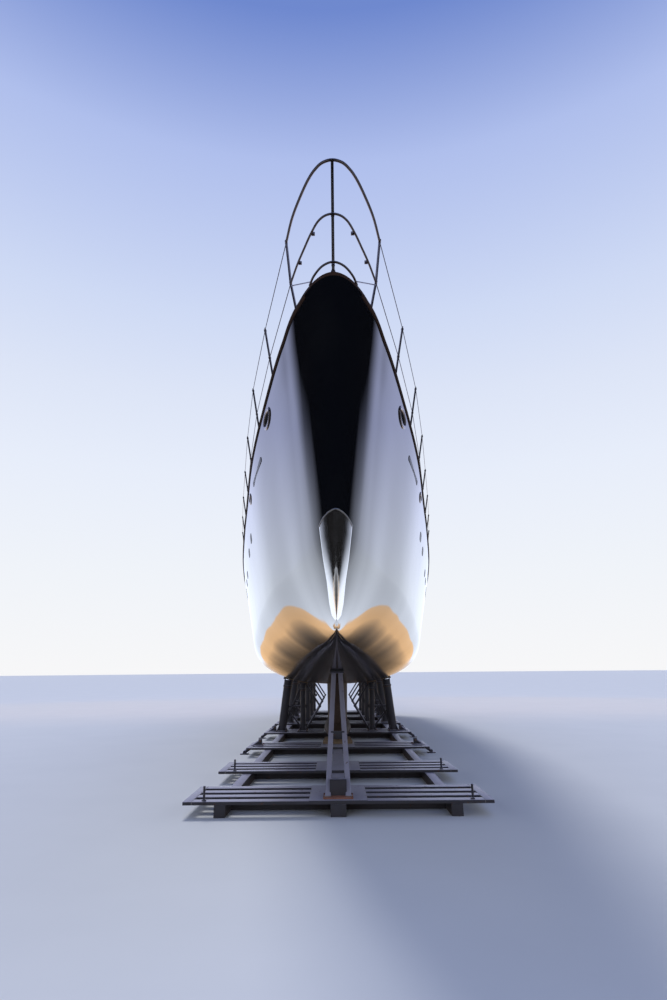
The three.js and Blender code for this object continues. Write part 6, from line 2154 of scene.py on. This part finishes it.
def deckGear():
    form, places = Form(), []
    for side in (1, -1):
        for s, x in gear["cleats"]:
            place = deckPlace(s, side * x)
            cleat(form, place, 0.34)
            places += [(place @ Vector((0, v * 0.12, 0.007)), place.to_3x3() @ Vector((0, 0, 1))) for v in (-1, 1)]
        # a genoa track with its car on the side deck
        s0, s1 = gear["trackS"]
        line = [deckPlace(s0 + (s1 - s0) * k / 10, side * gear["trackX"], 0.012).translation for k in range(11)]
        form.sweep(line, [(-0.02, -0.013), (0.02, -0.013), (0.02, -0.004), (0.011, 0.0), (0.017, 0.006), (0.017, 0.011),
                          (-0.017, 0.011), (-0.017, 0.006), (-0.011, 0.0), (-0.02, -0.004)], rubber, upright=(0, 0, 1))
        for s in (16.6, 18.4):
            place = deckPlace(s, side * gear["trackX"], 0.018)
            form.prism(roundedBox(0.032, 0.1, 0.012), 0.0, 0.03, rubber, 0.005, place)
            hub = place @ Vector((0, 0, 0.075))
            across = place.to_3x3() @ Vector((1, 0, 0))
            form.rod(hub - across * 0.017, hub + across * 0.017, 0.042, steel, 24, soft=0.004)
            for v in (-1, 1):
                cheek = hub + across * v * 0.022
                form.rod(cheek - across * 0.004, cheek + across * 0.004, 0.05, rubber, 24, soft=0.002)
        # chain plates for the shrouds, standing bare
        for s in gear["chainS"]:
            x = side * (deckHalf(s) - 0.24)
            place = deckPlace(s, x)
            form.prism(roundedBox(0.04, 0.1, 0.012), 0.0, 0.01, steel, 0.003, place)
            form.prism([(-0.009, -0.045), (0.009, -0.045), (0.009, 0.045), (-0.009, 0.045)], 0.0, 0.13, steel, 0.004, place)
            hub, across = place @ Vector((0, 0, 0.125)), place.to_3x3() @ Vector((1, 0, 0))
            form.rod(hub - across * 0.012, hub + across * 0.012, 0.047, steel, 24, soft=0.003)
            form.rod(hub - across * 0.028, hub + across * 0.028, 0.014, steel, 16, soft=0.003)
        for s, x in gear["vents"]:
            place = deckPlace(s, side * x)
            form.lathe([(0.075, 0.0), (0.075, 0.006), (0.06, 0.012), (0.056, 0.03), (0.062, 0.034), (0.09, 0.04),
                        (0.094, 0.048), (0.085, 0.056), (0.04, 0.064), (0.001, 0.066)], steel, 28, place)
        for s, x in gear["fillers"]:
            place = deckPlace(s, side * x)
            form.lathe([(0.042, 0.0), (0.042, 0.004), (0.032, 0.006), (0.03, 0.004), (0.001, 0.004)], steel, 28, place)
        for s, x in gear["sheets"]:
            place = deckPlace(s, side * x)
            form.lathe([(0.07, 0.0), (0.07, 0.01), (0.055, 0.015), (0.05, 0.03), (0.066, 0.042), (0.066, 0.05), (0.05, 0.056),
                        (0.001, 0.058)], steel, 28, place)
    # tack fitting behind the stem
    place = deckPlace(1.05, 0.0)
    form.prism(roundedBox(0.05, 0.16, 0.015), 0.0, 0.012, steel, 0.004, place)
    form.prism([(-0.011, -0.07), (0.011, -0.07), (0.011, 0.07), (-0.011, 0.07)], 0.0, 0.14, steel, 0.004, place)
    hub, across = place @ Vector((0, 0, 0.13)), place.to_3x3() @ Vector((1, 0, 0))
    form.rod(hub - across * 0.014, hub + across * 0.014, 0.055, steel, 24, soft=0.004)
    form.rod(hub - across * 0.032, hub + across * 0.032, 0.016, steel, 16, soft=0.003)
    form.make("deckGear", "yacht")
    growBolts("deckGearBolts", "yacht", places, steel, 0.008, 0.006)


# Mast step: a plate with a raised rim, heel slots, turning blocks and bolts
def mastStep():
    form, places = Form(), []
    centre = Vector((0, bowY + mast["s"], deckZ(mast["s"], 0.0)))
    half, reach = mast["half"], mast["reach"]
    place = Matrix.Translation(centre)
    form.prism(roundedBox(half, reach, 0.06, 5), 0.0, mast["height"] - 0.012, whitePaint, 0.008, place)
    outer = roundedBox(half - 0.06, reach - 0.06, 0.14, 8)
    rim = [place @ Vector((x, y, mast["height"] + mast["rim"] - 0.012)) for x, y in outer]
    foot = [place @ Vector((x, y, mast["height"] - 0.014)) for x, y in outer]
    inner = [(x * 0.9, y * 0.95) for x, y in outer]
    inside = [place @ Vector((x, y, mast["height"] + mast["rim"] - 0.012)) for x, y in inner]
    floor = [place @ Vector((x * 0.99, y, mast["height"] - 0.002)) for x, y in inner]
    form.skin([foot, rim, inside, floor], steel, False, True)
    for y in (-0.2, 0.0, 0.2):
        form.slab((centre.x - 0.1, centre.y + y - 0.02, centre.z + mast["height"] - 0.004),
                  (centre.x + 0.1, centre.y + y + 0.02, centre.z + mast["height"] + 0.03), steel, 0.004)
    for x, y in roundedBox(half - 0.03, reach - 0.03, 0.03, 1):
        places.append((centre + Vector((x, y, mast["height"] - 0.012)), (0, 0, 1)))
    form.make("mastStepPlate", "yacht", "mast_step")
    growBolts("mastStepBolts", "yacht", places, steel, 0.012, 0.012)
    blocks = Form()
    for side in (1, -1):
        for y in (-0.3, -0.1, 0.1, 0.3):
            x = side * (half + 0.13)
            place = Matrix.Translation((x, centre.y + y, deckZ(mast["s"] + y, abs(x)) + deckTop - 0.002))
            blocks.lathe([(0.048, 0.0), (0.048, 0.008), (0.03, 0.012), (0.03, 0.03), (0.044, 0.036), (0.044, 0.044),
                          (0.02, 0.05), (0.001, 0.05)], steel, 24, place)
    blocks.make("mastBlocks", "yacht")


# Drop-down stern door: the hull's own gloss with a shadow line, a pull and two hinge barrels
def sternDoor():
    form = Form()
    edge = bowY + 36.0
    half, low, high = garage["half"], garage["sill"], garage["head"]
    thickness = garage["thickness"]
    outline = [(x, (low + high) / 2 + z) for x, z in roundedBox(half, (high - low) / 2, 0.02, 4)]
    turned = Matrix.Translation((0, edge, 0)) @ Matrix.Rotation(math.radians(90), 4, "X")
    form.prism(outline, 0.001, thickness, hullGloss, 0.004, turned)
    form.make("sternDoor", "transom_door", "transom_door")
    fittings = Form()
    fittings.slab((-0.16, edge - 0.004, high - 0.2), (0.16, edge, high - 0.12), steel, 0.001)
    fittings.slab((-0.13, edge - 0.002, high - 0.185), (0.13, edge + 0.0004, high - 0.135), blackGlass, 0.0)
    for x in (-1.3, 1.3):
        fittings.slab((x - 0.09, edge - thickness - 0.012, low + 0.02), (x + 0.09, edge - thickness + 0.004, low + 0.5),
                      steel, 0.003)
        fittings.slab((x - 0.05, edge - thickness - 0.03, low + 0.3), (x + 0.05, edge - thickness - 0.008, low + 0.38),
                      steel, 0.003)
    fittings.make("sternDoorFittings", "transom_door")


saloonSofas()
hatchLid("anchor", "anchor_lid", "anchor_locker_lid")
hatchLid("fore", "fore_lid", "fore_hatch_lid")
hatchLid("mid", "mid_lid", "mid_hatch_lid")
deckGear()
mastStep()
sternDoor()
print("deck gear ready")


# The door keeps its solid's shape and gets its finish here
doorData = frame["nodes"]["companionway_door"].data
doorData.materials.clear()
doorData.materials.append(blackGlass.material)


# Light and floor: a bright low sky, a soft sun from behind the yacht, and a glowing reflector card around the bow that
# paints reflections
studio = {"floor": 900.0, "floorLow": (0.6, 0.61, 0.62), "floorHigh": (0.66, 0.665, 0.67),
          "sky": [(0.0, (0.93, 0.93, 0.94)), (0.15, (0.87, 0.9, 0.95)), (0.31, (0.8, 0.85, 0.96)),
                  (0.43, (0.72, 0.78, 0.93)), (0.54, (0.62, 0.7, 0.91)), (0.71, (0.43, 0.52, 0.84)),
                  (0.82, (0.16, 0.25, 0.62)), (1.0, (0.16, 0.24, 0.55))],
          "strength": 1.0, "sun": 1.7, "sunSize": 16.0, "sunTurn": (-38.0, -18.0, 0.0)}
reflector = {"radius": 60.0, "top": 52.0, "darkTo": 136, "lightFrom": 150, "high": (0.8, 0.88, 1.35),
             "low": (1.2, 1.3, 1.5), "highZ": 27.0, "lowZ": 9.0, "dark": (0.004, 0.003, 0.003), "step": 4,
             "tanFrom": 26.0, "tanTo": 37.0, "bowFrom": 12, "bowTo": 26, "middleS": 50.0,
             "foot": [(0.0, (0.03, 0.02, 0.012)), (0.03, (0.09, 0.058, 0.036)), (0.055, (0.25, 0.16, 0.09)),
                      (0.09, (0.9, 0.57, 0.31)), (0.14, (1.4, 0.88, 0.47)), (0.3, (1.5, 1.0, 0.6)),
                      (0.7, (1.2, 1.0, 0.8)), (1.0, (0.95, 0.93, 0.92))],
             "plainFoot": [(0.0, (0.02, 0.014, 0.01)), (0.06, (0.07, 0.055, 0.045)), (0.15, (0.2, 0.2, 0.21)),
                           (0.4, (0.42, 0.44, 0.49)), (1.0, (0.7, 0.73, 0.8))]}


def makeFloor():
    made = Finish("paleFloor", "", specular=0.2)
    made.feed("color", made.mix(made.noise(0.4, 4.0), studio["floorLow"], studio["floorHigh"]))
    made.feed("roughness", 0.85)
    floor = Form()
    floor.skin([[(studio["floor"] * size * u, studio["floor"] * size * v, -0.002) for u, v in circle(1.0, 64)]
                for size in (0.02, 1.0)], made, True, False)
    floor.plain("floor")


# Glowing card around and below that only polished surfaces pick up, a painted reflection: dark before the bow, paler to
# the sides, tan on its floor part aft
def makeReflector():
    made = Finish("reflectorCloth", "", specular=0.0, glowStrength=1.0)
    x, y, z = made.axis("X"), made.axis("Y") - bowY, made.axis("Z")
    angle = x.math("ABSOLUTE").math("ARCTAN2", y * -1)
    side = made.mask(angle, math.radians(reflector["darkTo"]), math.radians(reflector["lightFrom"]))
    low = made.mask(z, reflector["highZ"], reflector["lowZ"])
    wall = made.mix(side, reflector["dark"], made.mix(low, reflector["high"], reflector["low"]))
    beyond = ((y - reflector["middleS"]).math("ABSOLUTE") - reflector["middleS"]).math("MAXIMUM", 0.0)
    away = (x * x + beyond * beyond).math("SQRT") * (1 / reflector["radius"])
    # Floor ramps: dark near the bow, tan a few metres out, pale far out: painted reflections
    foot = made.node("ShaderNodeValToRGB", {"stops": reflector["foot"]}, {0: away})
    plain = made.node("ShaderNodeValToRGB", {"stops": reflector["plainFoot"]}, {0: away})
    foot = made.mix(made.mask(y, reflector["tanFrom"], reflector["tanTo"]), plain, foot)
    ahead = made.mask(angle, math.radians(reflector["bowFrom"]), math.radians(reflector["bowTo"]))
    foot = made.mix(ahead, reflector["dark"], foot)
    made.feed("color", (0.0, 0.0, 0.0))
    made.feed("glow", made.mix(made.mask(z, 0.5, 0.1), wall, foot))
    made.material.cycles.emission_sampling = "NONE"
    turns = [math.radians(turn) for turn in range(0, 360, reflector["step"])]
    cloth = Form()
    cloth.skin([[(radius * math.sin(a), bowY - radius * math.cos(a), z) for a in turns] for radius, z in (
        (0.01, 0.004), (reflector["radius"], 0.004), (reflector["radius"], 0.6), (reflector["radius"], reflector["top"]))],
               made, False, False)
    card = cloth.plain("reflector")
    card.visible_camera = card.visible_shadow = card.visible_diffuse = card.visible_transmission = False


def makeSky():
    world = bpy.data.worlds.new("sky")
    bpy.context.scene.world = world
    world.use_nodes = True
    sky = Graph(world.node_tree)
    up = sky.node("ShaderNodeSeparateXYZ", None, {0: sky.node("ShaderNodeTexCoord", output="Generated")}, "Z")
    tone = sky.node("ShaderNodeValToRGB", {"stops": studio["sky"]}, {0: up})
    back = sky.tree.nodes["Background"]
    sky.tree.links.new(tone.socket, back.inputs["Color"])
    back.inputs["Strength"].default_value = studio["strength"]
    bpy.context.scene.view_settings.view_transform = "Standard"


def makeSun():
    light = bpy.data.lights.new("softSun", "SUN")
    light.energy = studio["sun"]
    light.angle = math.radians(studio["sunSize"])
    lamp = bpy.data.objects.new("softSun", light)
    lamp.rotation_euler = [math.radians(turn) for turn in studio["sunTurn"]]
    lamp.visible_glossy = False
    bpy.context.scene.collection.objects.link(lamp)


makeFloor()
makeReflector()
makeSky()
makeSun()
